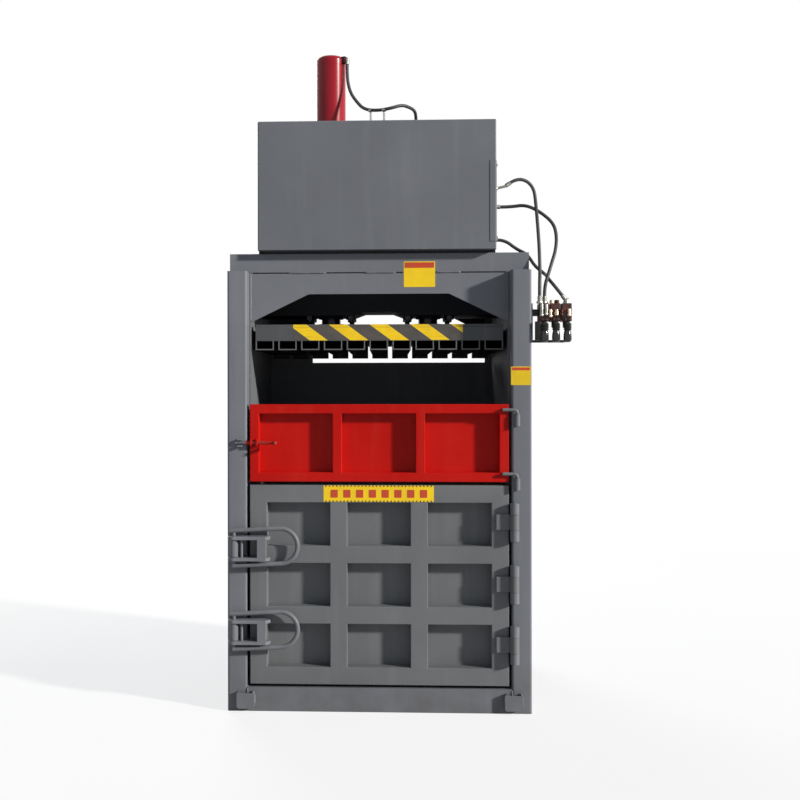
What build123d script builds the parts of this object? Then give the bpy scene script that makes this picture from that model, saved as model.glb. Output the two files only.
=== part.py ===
from build123d import *
import math
import os

# Vertical hydraulic recycling baler: a welded frame of box columns round a bale chamber,
# a ram platen driven down by one cylinder, a red feed door over a grey bale door, a power
# pack under a sheet cover and a bank of lever valves on the right column.
# Millimetres. X is to the right, the front faces -Y, Z is up. The origin is on the floor at
# the centre of the frame.

# Frame
FRAME_WIDTH = 1300.0
FRAME_DEPTH = 960.0
COLUMN_WIDTH = 85.0
FRONT_COLUMN_DEPTH = 160.0
REAR_COLUMN_DEPTH = 100.0
COLUMN_HEIGHT = 1889.0
COLUMN_WALL = 6.0
COLUMN_RADIUS = 10.0
BASE_HEIGHT = 103.0
BASE_BEAM = 60.0
BASE_JOISTS = 5
JOIST_WIDTH = 50.0
LUG_WIDTH = 76.0
LUG_HEIGHT = 72.0
LUG_THICKNESS = 25.0
LUG_BOTTOM = 16.0
LUG_INSET = 41.0
LUG_WALL = 8.0
LUG_DIP = 6.0
WALL_PLATE = 6.0
RIB_HEIGHT = 60.0
RIB_PROJECTION = 40.0
RIB_GAUGE = 5.0
RIB_LEVELS = (230.0, 560.0, 890.0, 1220.0, 1560.0)
REAR_WALL_SETBACK = 80.0
WINDOW_SILL = 1513.0
WINDOW_LEFT = -342.0
WINDOW_RIGHT = 527.0
TOP_BEAM_HEIGHT = 83.0
TOP_BEAM_DEPTH = 100.0
TOP_BEAM_SETBACK = 90.0
BEAM_WALL = 6.0
BEAM_VENT = 20.0

# Header panel over the feed opening
HEADER_THICKNESS = 8.0
HEADER_DROP = 215.0
HEADER_CUT_TOP = 305.0
HEADER_CUT_BOTTOM = 555.0
HEADER_CUT_HEIGHT = 121.0
WELD_GAP = 4.0
WELD_SLOTS = ((-551.0, -396.0), (-229.0, -62.0), (75.0, 105.0), (357.0, 551.0))

# Crosshead that takes the thrust of the cylinder
CROSSHEAD_DEPTH = 260.0
CROSSHEAD_DROP = 171.0
CROSSHEAD_FLANGE = 24.0
CROSSHEAD_WEB = 12.0
NOTCH_BOTTOM = 228.0
NOTCH_TOP = 132.0
NOTCH_HEIGHT = 18.0

# Cylinder and guide rod
RAM_OFFSET = 227.0
ROD_DIAMETER = 88.0
ROD_RUNNING_GAP = 0.06
BARREL_DIAMETER = 138.0
BARREL_WALL = 13.0
CYLINDER_TOP = 2938.0
CAP_HEIGHT = 44.0
CAP_DOME = 20.0
PISTON_HEIGHT = 60.0
PISTON_TOP_GAP = 40.0
PISTON_GAP = 0.06
SPIGOT_DIAMETER = 50.0
FLANGE_SIZE = 250.0
FLANGE_THICKNESS = 25.0
FLANGE_BOLT_OFFSET = 95.0
BOLT_DIAMETER = 24.0
BOLT_HOLE = 26.0
BOLT_HEAD = 36.0
BOLT_HEAD_HEIGHT = 15.0
BOLT_TAIL = 32.0
NECK_DIAMETER = 116.0
NECK_DROP = 10.0
NECK_GAP = 2.0
SLEEVE_DIAMETER = 120.0
SLEEVE_TOP = 2010.0
GUIDE_ROD_TOP = 2510.0
PORT_ANGLE = -27.0
PORT_REACH = 88.0
PORT_DROP = 20.0
PORT_BOSS = 28.0

# Platen
PLATEN_WIDTH = 1080.0
PLATEN_DEPTH = 750.0
PLATEN_PLATE = 12.0
PLATEN_UNDERSIDE = 1552.0
CHANNEL_COUNT = 11
CHANNEL_PITCH = 100.0
CHANNEL_WIDTH = 80.0
CHANNEL_HEIGHT = 40.0
CHANNEL_GAUGE = 5.0
FASCIA_HEIGHT = 72.0
FASCIA_GAUGE = 10.0
FASCIA_LIP = 13.0
FASCIA_STEP = 6.0
FASCIA_RETURN = 60.0
PLATEN_RIB = 10.0
PLATEN_RIB_HEIGHT = 45.0
PLATEN_RIB_OFFSET = 130.0
SEAT_DIAMETER = 240.0
SEAT_THICKNESS = 25.0
SEAT_HUB_DIAMETER = 130.0
SEAT_HUB_HEIGHT = 80.0
SEAT_BOLT_CIRCLE = 190.0
SEAT_BOLTS = 6
STROKE = 600.0

# Chamber floor
FLOOR_PLATE = 6.0
FLOOR_BAR_HEIGHT = 12.0

# Doors
DOOR_SIDE_GAP = 12.0
BALE_DOOR_BOTTOM = 116.0
BALE_DOOR_HEIGHT = 854.0
BALE_DOOR_DEPTH = 60.0
BALE_DOOR_SKIN = 8.0
BALE_STILE = 74.0
BALE_RAIL = 75.0
BALE_COLUMNS = 3
BALE_ROWS = 3
FEED_DOOR_GAP = 14.0
FEED_DOOR_HEIGHT = 332.0
FEED_DOOR_DEPTH = 50.0
FEED_DOOR_SKIN = 5.0
FEED_BAR = 40.0
FEED_COLUMNS = 3
TUBE_RADIUS = 4.0
CHAMBER_DOOR_GAP = 14.0

# Bale door hinges
HINGE_X = 575.0
HINGE_STANDOFF = 20.0
HINGE_DIAMETER = 38.0
HINGE_PIN = 18.0
HINGE_GAP = 0.06
HINGE_LENGTH = 160.0
HINGE_LEAF_HEIGHT = 65.0
HINGE_LEVELS = (295.0, 552.0, 816.0)
HINGE_LEAF_REACH = 80.0
HINGE_LEAF_THICKNESS = 12.0
HINGE_END_GAP = 1.0
HINGE_PAD_HALF = 8.0

# Feed door hinge rods in sleeves on the column
FEED_HINGE_X = 587.0
FEED_HINGE_STANDOFF = 13.0
FEED_ROD = 14.0
FEED_SLEEVE = 24.0
FEED_SLEEVE_GAP = 0.06
FEED_SLEEVE_LENGTH = 48.0
FEED_ROD_LEVELS = (1020.0, 1292.0)
FEED_ROD_BEND = 14.0
FEED_ROD_REACH = 62.0
FEED_COLLAR_HEIGHT = 4.0
FEED_COLLAR_GAP = 0.3

# Feed door bolt
BOLT_ROD = 16.0
BOLT_LEVEL = 1152.0
BOLT_LEFT = -617.0
BOLT_RIGHT = -440.0
BOLT_STANDOFF = 11.0
BOLT_HANDLE = 46.0
BOLT_BEND = 16.0
BOLT_GUIDE_THICKNESS = 7.0
BOLT_GUIDE_SIZE = 34.0
BOLT_GAP = 0.08
KEEPER_GAP = 2.0
KEEPER_LIP = 7.0
KEEPER_WIDTH = 22.0
KEEPER_DEPTH = 24.0

# Loop latches on the left edge of the bale door
LATCH_LEVELS = (348.0, 703.0)
LATCH_X = -617.5
LATCH_STANDOFF = 33.0
LATCH_EAR_GAP = 76.0
LATCH_EAR = 14.0
LATCH_EAR_RADIUS = 26.0
LATCH_EAR_RIGHT = -462.0
LATCH_HOOK_WIDTH = 22.0
LATCH_HOOK_START = 14.0
LATCH_HOOK_TIP = 30.0
LATCH_HOOK_FRONT = 40.0
LATCH_CROSS_LEFT = -516.0
LATCH_CROSS_RIGHT = -480.0
LATCH_CROSS_THICKNESS = 8.0
LATCH_SPACER_X = -584.5
LATCH_SPACER = 12.0
LATCH_PIN = 16.0
LATCH_PIN_GAP = 0.06
LATCH_HUB = 36.0
LATCH_HUB_GAP = 0.5
LATCH_BAR = 16.0
LATCH_ARM_OFFSET = 74.0
LATCH_LOOP_RIGHT = -334.5
LATCH_TILT = 3.0
COLUMN_CLEARANCE = 3.0
LATCH_KEEPER = 10.0

# Power pack cover
PLINTH_HEIGHT = 11.0
COVER_CENTRE_X = -8.5
COVER_WIDTH = 1029.0
COVER_FRONT_OVERHANG = 47.0
COVER_DEPTH = 837.0
COVER_HEIGHT = 557.0
COVER_GAUGE = 3.0
COVER_RADIUS = 6.0
COVER_RETURN = 30.0
COVER_FRONT_RETURN = 100.0
PLINTH_INSET = 12.0
COVER_HOLE_GAP = 4.0
VENT_COUNT = 8
VENT_WIDTH = 220.0
VENT_HEIGHT = 10.0
VENT_PITCH = 28.0
VENT_LEVEL = 180.0
PANEL_GAUGE = 2.0
PANEL_WRAP = 28.0
PANEL_DEPTH = 340.0
PANEL_BOTTOM = 2015.0
PANEL_TOP = 2362.0
PANEL_SCREW = 12.0
PANEL_SCREW_HEAD = 4.0
PANEL_SCREW_INSET = 18.0

# Power pack inside the cover
TANK_WIDTH = 480.0
TANK_DEPTH = 240.0
TANK_HEIGHT = 240.0
TANK_WALL = 4.0
TANK_LID = 8.0
TANK_CENTRE_X = 200.0
TANK_CENTRE_Y = 245.0
FILLER_DIAMETER = 60.0
FILLER_HEIGHT = 34.0
MOTOR_DIAMETER = 180.0
MOTOR_HEIGHT = 215.0
MOTOR_FLANGE = 210.0
MOTOR_FLANGE_THICKNESS = 12.0
MOTOR_FINS = 20
MOTOR_FIN_DEPTH = 9.0
MOTOR_FIN_GAP = 12.0
MOTOR_COWL = 60.0
PUMP_DIAMETER = 96.0
PUMP_HEIGHT = 120.0
PUMP_HOLE = 100.0

# Hoses and their fittings
HOSE_DIAMETER = 15.0
UNION_NUT = 26.0
UNION_NUT_HEIGHT = 10.0
UNION_FERRULE = 19.0
UNION_LENGTH = 22.0
CLIP_WIDTH = 14.0
CLIP_THICKNESS = 3.0
CLIP_FOOT = 46.0
CLIP_GAP = 0.5
CLIP_COUNT = 2
STUB_PIPE = 12.0
STUB_RUN = 44.0
STUB_TILT = 12.0
STUB_FERRULE_TILT = 34.0
STUB_FERRULE_START = 6.0
ELBOW_TILT = 38.0

# Valve bank on the right column
VALVE_LEFT = 683.0
VALVE_PITCH = 48.0
VALVE_SECTIONS = 3
VALVE_SECTION_WIDTH = 42.0
VALVE_FRONT = -470.0
VALVE_DEPTH = 70.0
VALVE_BOTTOM = 1668.0
VALVE_HEIGHT = 77.0
VALVE_NECK_INSET = 7.0
SPRING_CAP = 26.0
SPRING_CAP_HEIGHT = 24.0
TIE_NUT = 16.0
TIE_NUT_HEIGHT = 8.0
PLUG_DIAMETER = 20.0
PLUG_HEIGHT = 16.0
PLUG_SPACING = 21.0
LEVER_STANDOFF = 14.0
LEVER_RISE = 6.0
LEVER_HUB = 16.0
LEVER_HUB_WIDTH = 12.0
LEVER_EAR = 5.0
LEVER_EAR_GAP = 0.4
LEVER_PIN = 6.0
LEVER_PIN_GAP = 0.05
LEVER_ROD = 10.0
LEVER_LENGTH = 96.0
GRIP_DIAMETER = 32.0
GRIP_LENGTH = 58.0
BRACKET_GAUGE = 6.0
BRACKET_DEPTH = 110.0
BRACKET_BOTTOM = 1580.0
BRACKET_HEIGHT = 165.0
SHELF_THICKNESS = 10.0
SHELF_DEPTH = 40.0
SHELF_RIGHT = 800.0

# Worked out from the sizes above
FRONT = -FRAME_DEPTH / 2
REAR = FRAME_DEPTH / 2
HALF_WIDTH = FRAME_WIDTH / 2
COLUMN_INNER = HALF_WIDTH - COLUMN_WIDTH
WALL_INNER = COLUMN_INNER - WALL_PLATE
FRAME_TOP = COLUMN_HEIGHT + TOP_BEAM_HEIGHT
CHAMBER_FRONT = FRONT + BALE_DOOR_DEPTH + BALE_DOOR_SKIN + CHAMBER_DOOR_GAP
CHAMBER_REAR = REAR - REAR_WALL_SETBACK
BEAM_FRONT = FRONT + TOP_BEAM_SETBACK
CROSSHEAD_BOTTOM = COLUMN_HEIGHT - CROSSHEAD_DROP
FLANGE_SEAT = CROSSHEAD_BOTTOM + CROSSHEAD_FLANGE
FLANGE_TOP = FLANGE_SEAT + FLANGE_THICKNESS
PLATE_BOTTOM = PLATEN_UNDERSIDE + CHANNEL_HEIGHT
PLATE_TOP = PLATE_BOTTOM + PLATEN_PLATE
DOOR_HALF = COLUMN_INNER - DOOR_SIDE_GAP
FEED_DOOR_BOTTOM = BALE_DOOR_BOTTOM + BALE_DOOR_HEIGHT + FEED_DOOR_GAP
COVER_BOTTOM = FRAME_TOP + PLINTH_HEIGHT
COVER_TOP = COVER_BOTTOM + COVER_HEIGHT
COVER_LEFT = COVER_CENTRE_X - COVER_WIDTH / 2
COVER_RIGHT = COVER_CENTRE_X + COVER_WIDTH / 2
COVER_FRONT = BEAM_FRONT - COVER_FRONT_OVERHANG
COVER_REAR = COVER_FRONT + COVER_DEPTH
PANEL_FACE = COVER_RIGHT + PANEL_GAUGE
VALVE_TOP = VALVE_BOTTOM + VALVE_HEIGHT
UNION_TOP = VALVE_TOP + UNION_NUT_HEIGHT + UNION_LENGTH

# Routes of the hoses. Each first and last point is the face of a fitting.
ROOF_INLET = (172.0, -40.0)
PORT_X = -RAM_OFFSET + PORT_REACH * math.cos(math.radians(PORT_ANGLE))
PORT_Y = PORT_REACH * math.sin(math.radians(PORT_ANGLE))
PORT_FACE = CYLINDER_TOP - PORT_DROP - UNION_LENGTH
ROOF_FACE = COVER_TOP + UNION_NUT_HEIGHT + UNION_LENGTH
SIDE_FACE = PANEL_FACE + UNION_NUT_HEIGHT + UNION_LENGTH
UPPER_OUTLET = (-300.0, 2264.0)
MIDDLE_OUTLET = (-250.0, 2191.0)
LOWER_OUTLET = (-120.0, 2061.0)
STUB_START_X = PANEL_FACE + UNION_NUT_HEIGHT / 2
STUB_BEND_X = STUB_START_X + STUB_RUN * math.cos(math.radians(STUB_TILT))
STUB_BEND_Z = UPPER_OUTLET[1] + STUB_RUN * math.sin(math.radians(STUB_TILT))
STUB_REACH = STUB_FERRULE_START + UNION_LENGTH
STUB_END_X = STUB_BEND_X + STUB_REACH * math.cos(math.radians(STUB_FERRULE_TILT))
STUB_END_Z = STUB_BEND_Z + STUB_REACH * math.sin(math.radians(STUB_FERRULE_TILT))
STUB_LEAD = 20.0
UPPER_INLET = (687.0, -455.0)
MIDDLE_INLET = (712.0, -422.0)
LOWER_INLET = (806.0, -418.0)
ELBOW_CENTRE = VALVE_TOP + UNION_NUT_HEIGHT + 4.0
ELBOW_REACH = 30.0
ELBOW_X = LOWER_INLET[0] - ELBOW_REACH * math.sin(math.radians(ELBOW_TILT))
ELBOW_Z = ELBOW_CENTRE + ELBOW_REACH * math.cos(math.radians(ELBOW_TILT))
ELBOW_RUN = 45.0

CYLINDER_HOSE_ROUTE = [
    (PORT_X, PORT_Y, PORT_FACE),
    (PORT_X, PORT_Y, 2858),
    (-145, -50, 2806),
    (-131, -76, 2752),
    (-104, -107, 2706),
    (-68, -142, 2660),
    (-6, -182, 2644),
    (54, -206, 2648),
    (105, -184, 2668),
    (142, -138, 2667),
    (165, -94, 2663),
    (171, -60, 2644),
    (ROOF_INLET[0], ROOF_INLET[1], 2610),
    (ROOF_INLET[0], ROOF_INLET[1], ROOF_FACE),
]
UPPER_HOSE_ROUTE = [
    (STUB_END_X, UPPER_OUTLET[0], STUB_END_Z),
    (STUB_END_X + STUB_LEAD * math.cos(math.radians(STUB_FERRULE_TILT)), UPPER_OUTLET[0],
     STUB_END_Z + STUB_LEAD * math.sin(math.radians(STUB_FERRULE_TILT))),
    (631, -296, 2306),
    (665, -288, 2291),
    (687, -282, 2258),
    (692, -289, 2208),
    (692, -358, 2092),
    (694, -391, 1995),
    (692, -428, 1884),
    (UPPER_INLET[0], UPPER_INLET[1], 1832),
    (UPPER_INLET[0], UPPER_INLET[1], UNION_TOP),
]
MIDDLE_HOSE_ROUTE = [
    (SIDE_FACE, MIDDLE_OUTLET[0], MIDDLE_OUTLET[1]),
    (588, MIDDLE_OUTLET[0], MIDDLE_OUTLET[1]),
    (651, -262, 2198),
    (712, -281, 2164),
    (767, -305, 2111),
    (778, -332, 2052),
    (769, -362, 1984),
    (748, -393, 1927),
    (730, -415, 1876),
    (MIDDLE_INLET[0], MIDDLE_INLET[1], 1820),
    (MIDDLE_INLET[0], MIDDLE_INLET[1], UNION_TOP),
]
LOWER_HOSE_ROUTE = [
    (SIDE_FACE, LOWER_OUTLET[0], LOWER_OUTLET[1]),
    (574, LOWER_OUTLET[0], LOWER_OUTLET[1]),
    (628, -121, 2018),
    (673, -141, 1994),
    (700, -190, 1935),
    (721, -256, 1904),
    (736, -326, 1875),
    (734, -389, 1856),
    (ELBOW_X - ELBOW_RUN * math.sin(math.radians(ELBOW_TILT)), LOWER_INLET[1],
     ELBOW_Z + ELBOW_RUN * math.cos(math.radians(ELBOW_TILT))),
    (ELBOW_X, LOWER_INLET[1], ELBOW_Z),
]


# Basic shapes

def block(x0, x1, y0, y1, z0, z1):
    """A block between two opposite corners."""
    centre = Pos((x0 + x1) / 2, (y0 + y1) / 2, (z0 + z1) / 2)
    return centre * Box(abs(x1 - x0), abs(y1 - y0), abs(z1 - z0))


def post(x, y, z0, z1, diameter):
    """An upright round bar."""
    return Pos(x, y, (z0 + z1) / 2) * Cylinder(diameter / 2, z1 - z0)


def bar_x(x0, x1, y, z, diameter):
    """A round bar along X."""
    return Pos((x0 + x1) / 2, y, z) * Rot(0, 90, 0) * Cylinder(diameter / 2, x1 - x0)


def bar_y(x, y0, y1, z, diameter):
    """A round bar along Y."""
    return Pos(x, (y0 + y1) / 2, z) * Rot(90, 0, 0) * Cylinder(diameter / 2, y1 - y0)


def hexagon(x, y, z0, z1, across_flats):
    """An upright hexagonal prism."""
    prism = extrude(RegularPolygon(across_flats / 2, 6, major_radius=False), z1 - z0)
    return Pos(x, y, z0) * prism


def pipe(points, diameter, radii):
    """A round bar or hose along straight runs joined by tangent arcs."""
    path = FilletPolyline(*points, radius=radii)
    start = Plane(origin=path @ 0, z_dir=path % 0)
    return sweep(start * Circle(diameter / 2), path=path)


def hose_radii(points):
    """The largest arcs that the runs on both sides of each corner allow."""
    radii = []
    for before, corner, after in zip(points, points[1:], points[2:]):
        run_in = Vector(*corner) - Vector(*before)
        run_out = Vector(*after) - Vector(*corner)
        half_turn = math.radians(run_in.get_angle(run_out)) / 2
        radii.append(0.45 * min(run_in.length, run_out.length) / math.tan(half_turn))
    return radii


def solids(*pieces):
    """Several separate solids of one node."""
    return Compound(children=[solid for piece in pieces for solid in piece.solids()])


# Frame

def column(side, y0, y1):
    """A box column with rounded corners, a closed top and an open foot."""
    x0 = min(side * COLUMN_INNER, side * HALF_WIDTH)
    body = block(x0, x0 + COLUMN_WIDTH, y0, y1, 0, COLUMN_HEIGHT)
    body = fillet(body.edges().filter_by(Axis.Z), COLUMN_RADIUS)
    hollow = block(x0 + COLUMN_WALL, x0 + COLUMN_WIDTH - COLUMN_WALL, y0 + COLUMN_WALL,
                   y1 - COLUMN_WALL, -1, COLUMN_HEIGHT - COLUMN_WALL)
    return body - fillet(hollow.edges().filter_by(Axis.Z), COLUMN_RADIUS - COLUMN_WALL)


def corner_lug(side):
    """A rounded pocket on the front corner, open on top, its front plate cut lower."""
    centre_x = side * (HALF_WIDTH - LUG_INSET - LUG_WIDTH / 2)
    half = LUG_WIDTH / 2
    top = LUG_BOTTOM + LUG_HEIGHT
    front = FRONT - LUG_THICKNESS
    lug = block(centre_x - half, centre_x + half, front, FRONT, LUG_BOTTOM, top)
    lug = fillet(lug.edges().filter_by(Axis.Y), LUG_HEIGHT / 6)
    inner = half - LUG_WALL
    lug -= block(centre_x - inner, centre_x + inner, front + LUG_WALL, FRONT + 1, LUG_BOTTOM + LUG_WALL, top + 1)
    return lug - block(centre_x - inner, centre_x + inner, front - 1, FRONT, top - LUG_DIP, top + 1)


def base_frame():
    """The bottom frame: front and rear beams, side sills and joists under the floor."""
    front_beam = block(-COLUMN_INNER, COLUMN_INNER, FRONT, FRONT + BASE_BEAM, 0, BASE_HEIGHT)
    frame = front_beam + block(-COLUMN_INNER, COLUMN_INNER, REAR - BASE_BEAM, REAR, 0, BASE_HEIGHT)
    inner_front = FRONT + BASE_BEAM
    inner_rear = REAR - BASE_BEAM
    sill_inner = COLUMN_INNER - BASE_BEAM
    for side in (-1, 1):
        frame += block(side * sill_inner, side * COLUMN_INNER, inner_front, inner_rear, 0, BASE_HEIGHT)
        frame += corner_lug(side)
    pitch = 2 * sill_inner / (BASE_JOISTS + 1)
    for index in range(BASE_JOISTS):
        x = (index - (BASE_JOISTS - 1) / 2) * pitch
        frame += block(x - JOIST_WIDTH / 2, x + JOIST_WIDTH / 2, inner_front, inner_rear, 0, BASE_HEIGHT)
    return frame


def strap_bars(count, z0, z1, y0, y1):
    """Flat bars with the strap grooves between them."""
    first = -(count - 1) / 2 * CHANNEL_PITCH
    bars = []
    for index in range(count):
        x = first + index * CHANNEL_PITCH
        bars.append(block(x - CHANNEL_WIDTH / 2, x + CHANNEL_WIDTH / 2, y0, y1, z0, z1))
    return bars


def floor_plate():
    return block(-WALL_INNER, WALL_INNER, CHAMBER_FRONT, CHAMBER_REAR, BASE_HEIGHT,
                 BASE_HEIGHT + FLOOR_PLATE)


def floor_bars():
    """Bars on the floor whose gaps take the baling straps."""
    z0 = BASE_HEIGHT + FLOOR_PLATE
    bars = strap_bars(CHANNEL_COUNT, z0, z0 + FLOOR_BAR_HEIGHT, CHAMBER_FRONT, CHAMBER_REAR)
    return solids(*bars)


def rib_profile(length):
    """A folded channel rib along X, open towards the wall at y = 0, centred on z = 0."""
    outside = block(-length / 2, length / 2, 0, RIB_PROJECTION, -RIB_HEIGHT / 2, RIB_HEIGHT / 2)
    inside = block(-length / 2, length / 2, -1, RIB_PROJECTION - RIB_GAUGE,
                   -RIB_HEIGHT / 2 + RIB_GAUGE, RIB_HEIGHT / 2 - RIB_GAUGE)
    return outside - inside


def side_wall(side):
    """A chamber side plate with folded ribs on its outside."""
    wall = block(side * WALL_INNER, side * COLUMN_INNER, CHAMBER_FRONT, CHAMBER_REAR + WALL_PLATE,
                 BASE_HEIGHT, COLUMN_HEIGHT)
    rib_front = FRONT + FRONT_COLUMN_DEPTH
    rib_rear = REAR - REAR_COLUMN_DEPTH
    rib = Rot(0, 0, -90 * side) * rib_profile(rib_rear - rib_front)
    for level in RIB_LEVELS:
        wall += Pos(side * COLUMN_INNER, (rib_front + rib_rear) / 2, level) * rib
    return wall


def rear_wall():
    """The chamber rear plate: low behind the feed opening, full height beside the window."""
    wall = block(-WALL_INNER, WALL_INNER, CHAMBER_REAR, CHAMBER_REAR + WALL_PLATE, BASE_HEIGHT,
                 COLUMN_HEIGHT)
    wall -= block(WINDOW_LEFT, WINDOW_RIGHT, CHAMBER_REAR - 1, CHAMBER_REAR + WALL_PLATE + 1,
                  WINDOW_SILL, COLUMN_HEIGHT + 1)
    rib = rib_profile(2 * COLUMN_INNER)
    for level in RIB_LEVELS:
        if level + RIB_HEIGHT / 2 < WINDOW_SILL:
            wall += Pos(0, CHAMBER_REAR + WALL_PLATE, level) * rib
    sill_rib = Pos(0, CHAMBER_REAR + WALL_PLATE, WINDOW_SILL - RIB_HEIGHT / 2) * rib
    return wall + sill_rib


def hollow_beam(x0, x1, y0, y1):
    """A capped box beam on top of the frame, with a vent hole in each end cap."""
    beam = block(x0, x1, y0, y1, COLUMN_HEIGHT, FRAME_TOP)
    along_x = x1 - x0 > y1 - y0
    beam = fillet(beam.edges().filter_by(Axis.X if along_x else Axis.Y), BEAM_WALL / 2)
    beam -= block(x0 + BEAM_WALL, x1 - BEAM_WALL, y0 + BEAM_WALL, y1 - BEAM_WALL,
                  COLUMN_HEIGHT + BEAM_WALL, FRAME_TOP - BEAM_WALL)
    middle_z = (COLUMN_HEIGHT + FRAME_TOP) / 2
    if along_x:
        return beam - bar_x(x0 - 1, x1 + 1, (y0 + y1) / 2, middle_z, BEAM_VENT)
    return beam - bar_y((x0 + x1) / 2, y0 - 1, y1 + 1, middle_z, BEAM_VENT)


def top_front_beam():
    return hollow_beam(-HALF_WIDTH, HALF_WIDTH, BEAM_FRONT, BEAM_FRONT + TOP_BEAM_DEPTH)


def top_rear_beam():
    return hollow_beam(-HALF_WIDTH, HALF_WIDTH, REAR - REAR_COLUMN_DEPTH, REAR)


def top_side_beams():
    """The side beams between the front and the rear beam."""
    y0 = BEAM_FRONT + TOP_BEAM_DEPTH
    y1 = REAR - REAR_COLUMN_DEPTH
    left = hollow_beam(-HALF_WIDTH, -WALL_INNER, y0, y1)
    right = hollow_beam(WALL_INNER, HALF_WIDTH, y0, y1)
    return solids(left, right)


def header_panel():
    """The panel under the front beam, with its flared cut-out and unwelded top gaps."""
    y0 = BEAM_FRONT
    y1 = BEAM_FRONT + HEADER_THICKNESS
    bottom = COLUMN_HEIGHT - HEADER_DROP
    panel = block(-WALL_INNER, WALL_INNER, y0, y1, bottom, COLUMN_HEIGHT)
    cut_points = [(-HEADER_CUT_BOTTOM, bottom), (HEADER_CUT_BOTTOM, bottom),
                  (HEADER_CUT_TOP, bottom + HEADER_CUT_HEIGHT),
                  (-HEADER_CUT_TOP, bottom + HEADER_CUT_HEIGHT)]
    cut_plane = Plane(origin=(0, y1 + 1, 0), x_dir=(1, 0, 0), z_dir=(0, -1, 0))
    cut = extrude(cut_plane * Polygon(*cut_points, align=None), y1 - y0 + 2)
    panel -= cut
    for x0, x1 in WELD_SLOTS:
        panel -= block(x0, x1, y0 - 1, y1 + 1, COLUMN_HEIGHT - WELD_GAP, COLUMN_HEIGHT + 1)
    return panel


def crosshead():
    """The welded box girder across the frame, bored for both rods, notched between them."""
    half = CROSSHEAD_DEPTH / 2
    girder = block(-WALL_INNER, WALL_INNER, -half, half, CROSSHEAD_BOTTOM, FRAME_TOP)
    girder -= block(-WALL_INNER - 1, WALL_INNER + 1, -half + CROSSHEAD_WEB, half - CROSSHEAD_WEB,
                    FLANGE_SEAT, FRAME_TOP - CROSSHEAD_WEB)
    for x, upper in ((-RAM_OFFSET, BARREL_DIAMETER), (RAM_OFFSET, SLEEVE_DIAMETER)):
        girder -= post(x, 0, CROSSHEAD_BOTTOM - 1, FLANGE_SEAT + 1, NECK_DIAMETER + 2 * NECK_GAP)
        girder -= post(x, 0, FRAME_TOP - CROSSHEAD_WEB - 1, FRAME_TOP + 1, upper + 2 * NECK_GAP)
        for dx, dy in flange_bolt_places():
            girder -= post(x + dx, dy, CROSSHEAD_BOTTOM - 1, FLANGE_SEAT + 1, BOLT_HOLE)
    notch_plane = Plane(origin=(0, half + 1, CROSSHEAD_BOTTOM), x_dir=(1, 0, 0), z_dir=(0, -1, 0))
    notch = Polygon((-NOTCH_BOTTOM / 2, 0), (NOTCH_BOTTOM / 2, 0), (NOTCH_TOP / 2, NOTCH_HEIGHT),
                    (-NOTCH_TOP / 2, NOTCH_HEIGHT), align=None)
    return girder - extrude(notch_plane * notch, CROSSHEAD_DEPTH + 2)


# Cylinder and guide

def flange_bolt_places():
    offset = FLANGE_BOLT_OFFSET
    return [(-offset, -offset), (offset, -offset), (offset, offset), (-offset, offset)]


def mounting_flange(x):
    """A square flange with a neck that drops through the crosshead."""
    half = FLANGE_SIZE / 2
    flange = block(x - half, x + half, -half + 15, half - 15, FLANGE_SEAT, FLANGE_TOP)
    flange = fillet(flange.edges().filter_by(Axis.Z), 12)
    flange += post(x, 0, CROSSHEAD_BOTTOM - NECK_DROP, FLANGE_SEAT, NECK_DIAMETER)
    for dx, dy in flange_bolt_places():
        flange -= post(x + dx, dy, FLANGE_SEAT - 1, FLANGE_TOP + 1, BOLT_HOLE)
    return flange


def rod_bore(x, z0, z1):
    return post(x, 0, z0, z1, ROD_DIAMETER + 2 * ROD_RUNNING_GAP)


def cylinder_head():
    """The flanged gland at the rod end of the cylinder."""
    head = mounting_flange(-RAM_OFFSET)
    return head - rod_bore(-RAM_OFFSET, CROSSHEAD_BOTTOM - NECK_DROP - 1, FLANGE_TOP + 1)


def cylinder_barrel():
    top = CYLINDER_TOP - CAP_HEIGHT
    barrel = post(-RAM_OFFSET, 0, FLANGE_TOP, top, BARREL_DIAMETER)
    return barrel - post(-RAM_OFFSET, 0, FLANGE_TOP - 1, top + 1, BARREL_DIAMETER - 2 * BARREL_WALL)


def cylinder_cap():
    """The domed end cap on top of the barrel."""
    cap = post(-RAM_OFFSET, 0, CYLINDER_TOP - CAP_HEIGHT, CYLINDER_TOP, BARREL_DIAMETER)
    rim = cap.edges().filter_by(GeomType.CIRCLE).sort_by(Axis.Z)[-1]
    cap = fillet(rim, CAP_DOME)
    flat_x = -RAM_OFFSET + (BARREL_DIAMETER / 2 - 4) * math.cos(math.radians(PORT_ANGLE))
    flat_y = (BARREL_DIAMETER / 2 - 4) * math.sin(math.radians(PORT_ANGLE))
    seat = Pos(flat_x, flat_y, CYLINDER_TOP - PORT_DROP) * Rot(0, 0, PORT_ANGLE)
    return cap - seat * Pos(10, 0, 0) * Box(20, PORT_BOSS + 4, PORT_BOSS + 4)


def cylinder_port():
    """The elbow on the cap that turns down to the hose."""
    seat_radius = BARREL_DIAMETER / 2 - 4
    turn = Pos(-RAM_OFFSET, 0, CYLINDER_TOP - PORT_DROP) * Rot(0, 0, PORT_ANGLE)
    body = turn * Pos((seat_radius + PORT_REACH) / 2, 0, 0) * Rot(0, 90, 0) * Cylinder(
        PORT_BOSS / 2 - 2, PORT_REACH - seat_radius)
    body += turn * Pos(PORT_REACH, 0, 0) * Sphere(PORT_BOSS / 2 - 2)
    return body + post(PORT_X, PORT_Y, PORT_FACE, CYLINDER_TOP - PORT_DROP, UNION_FERRULE)


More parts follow.
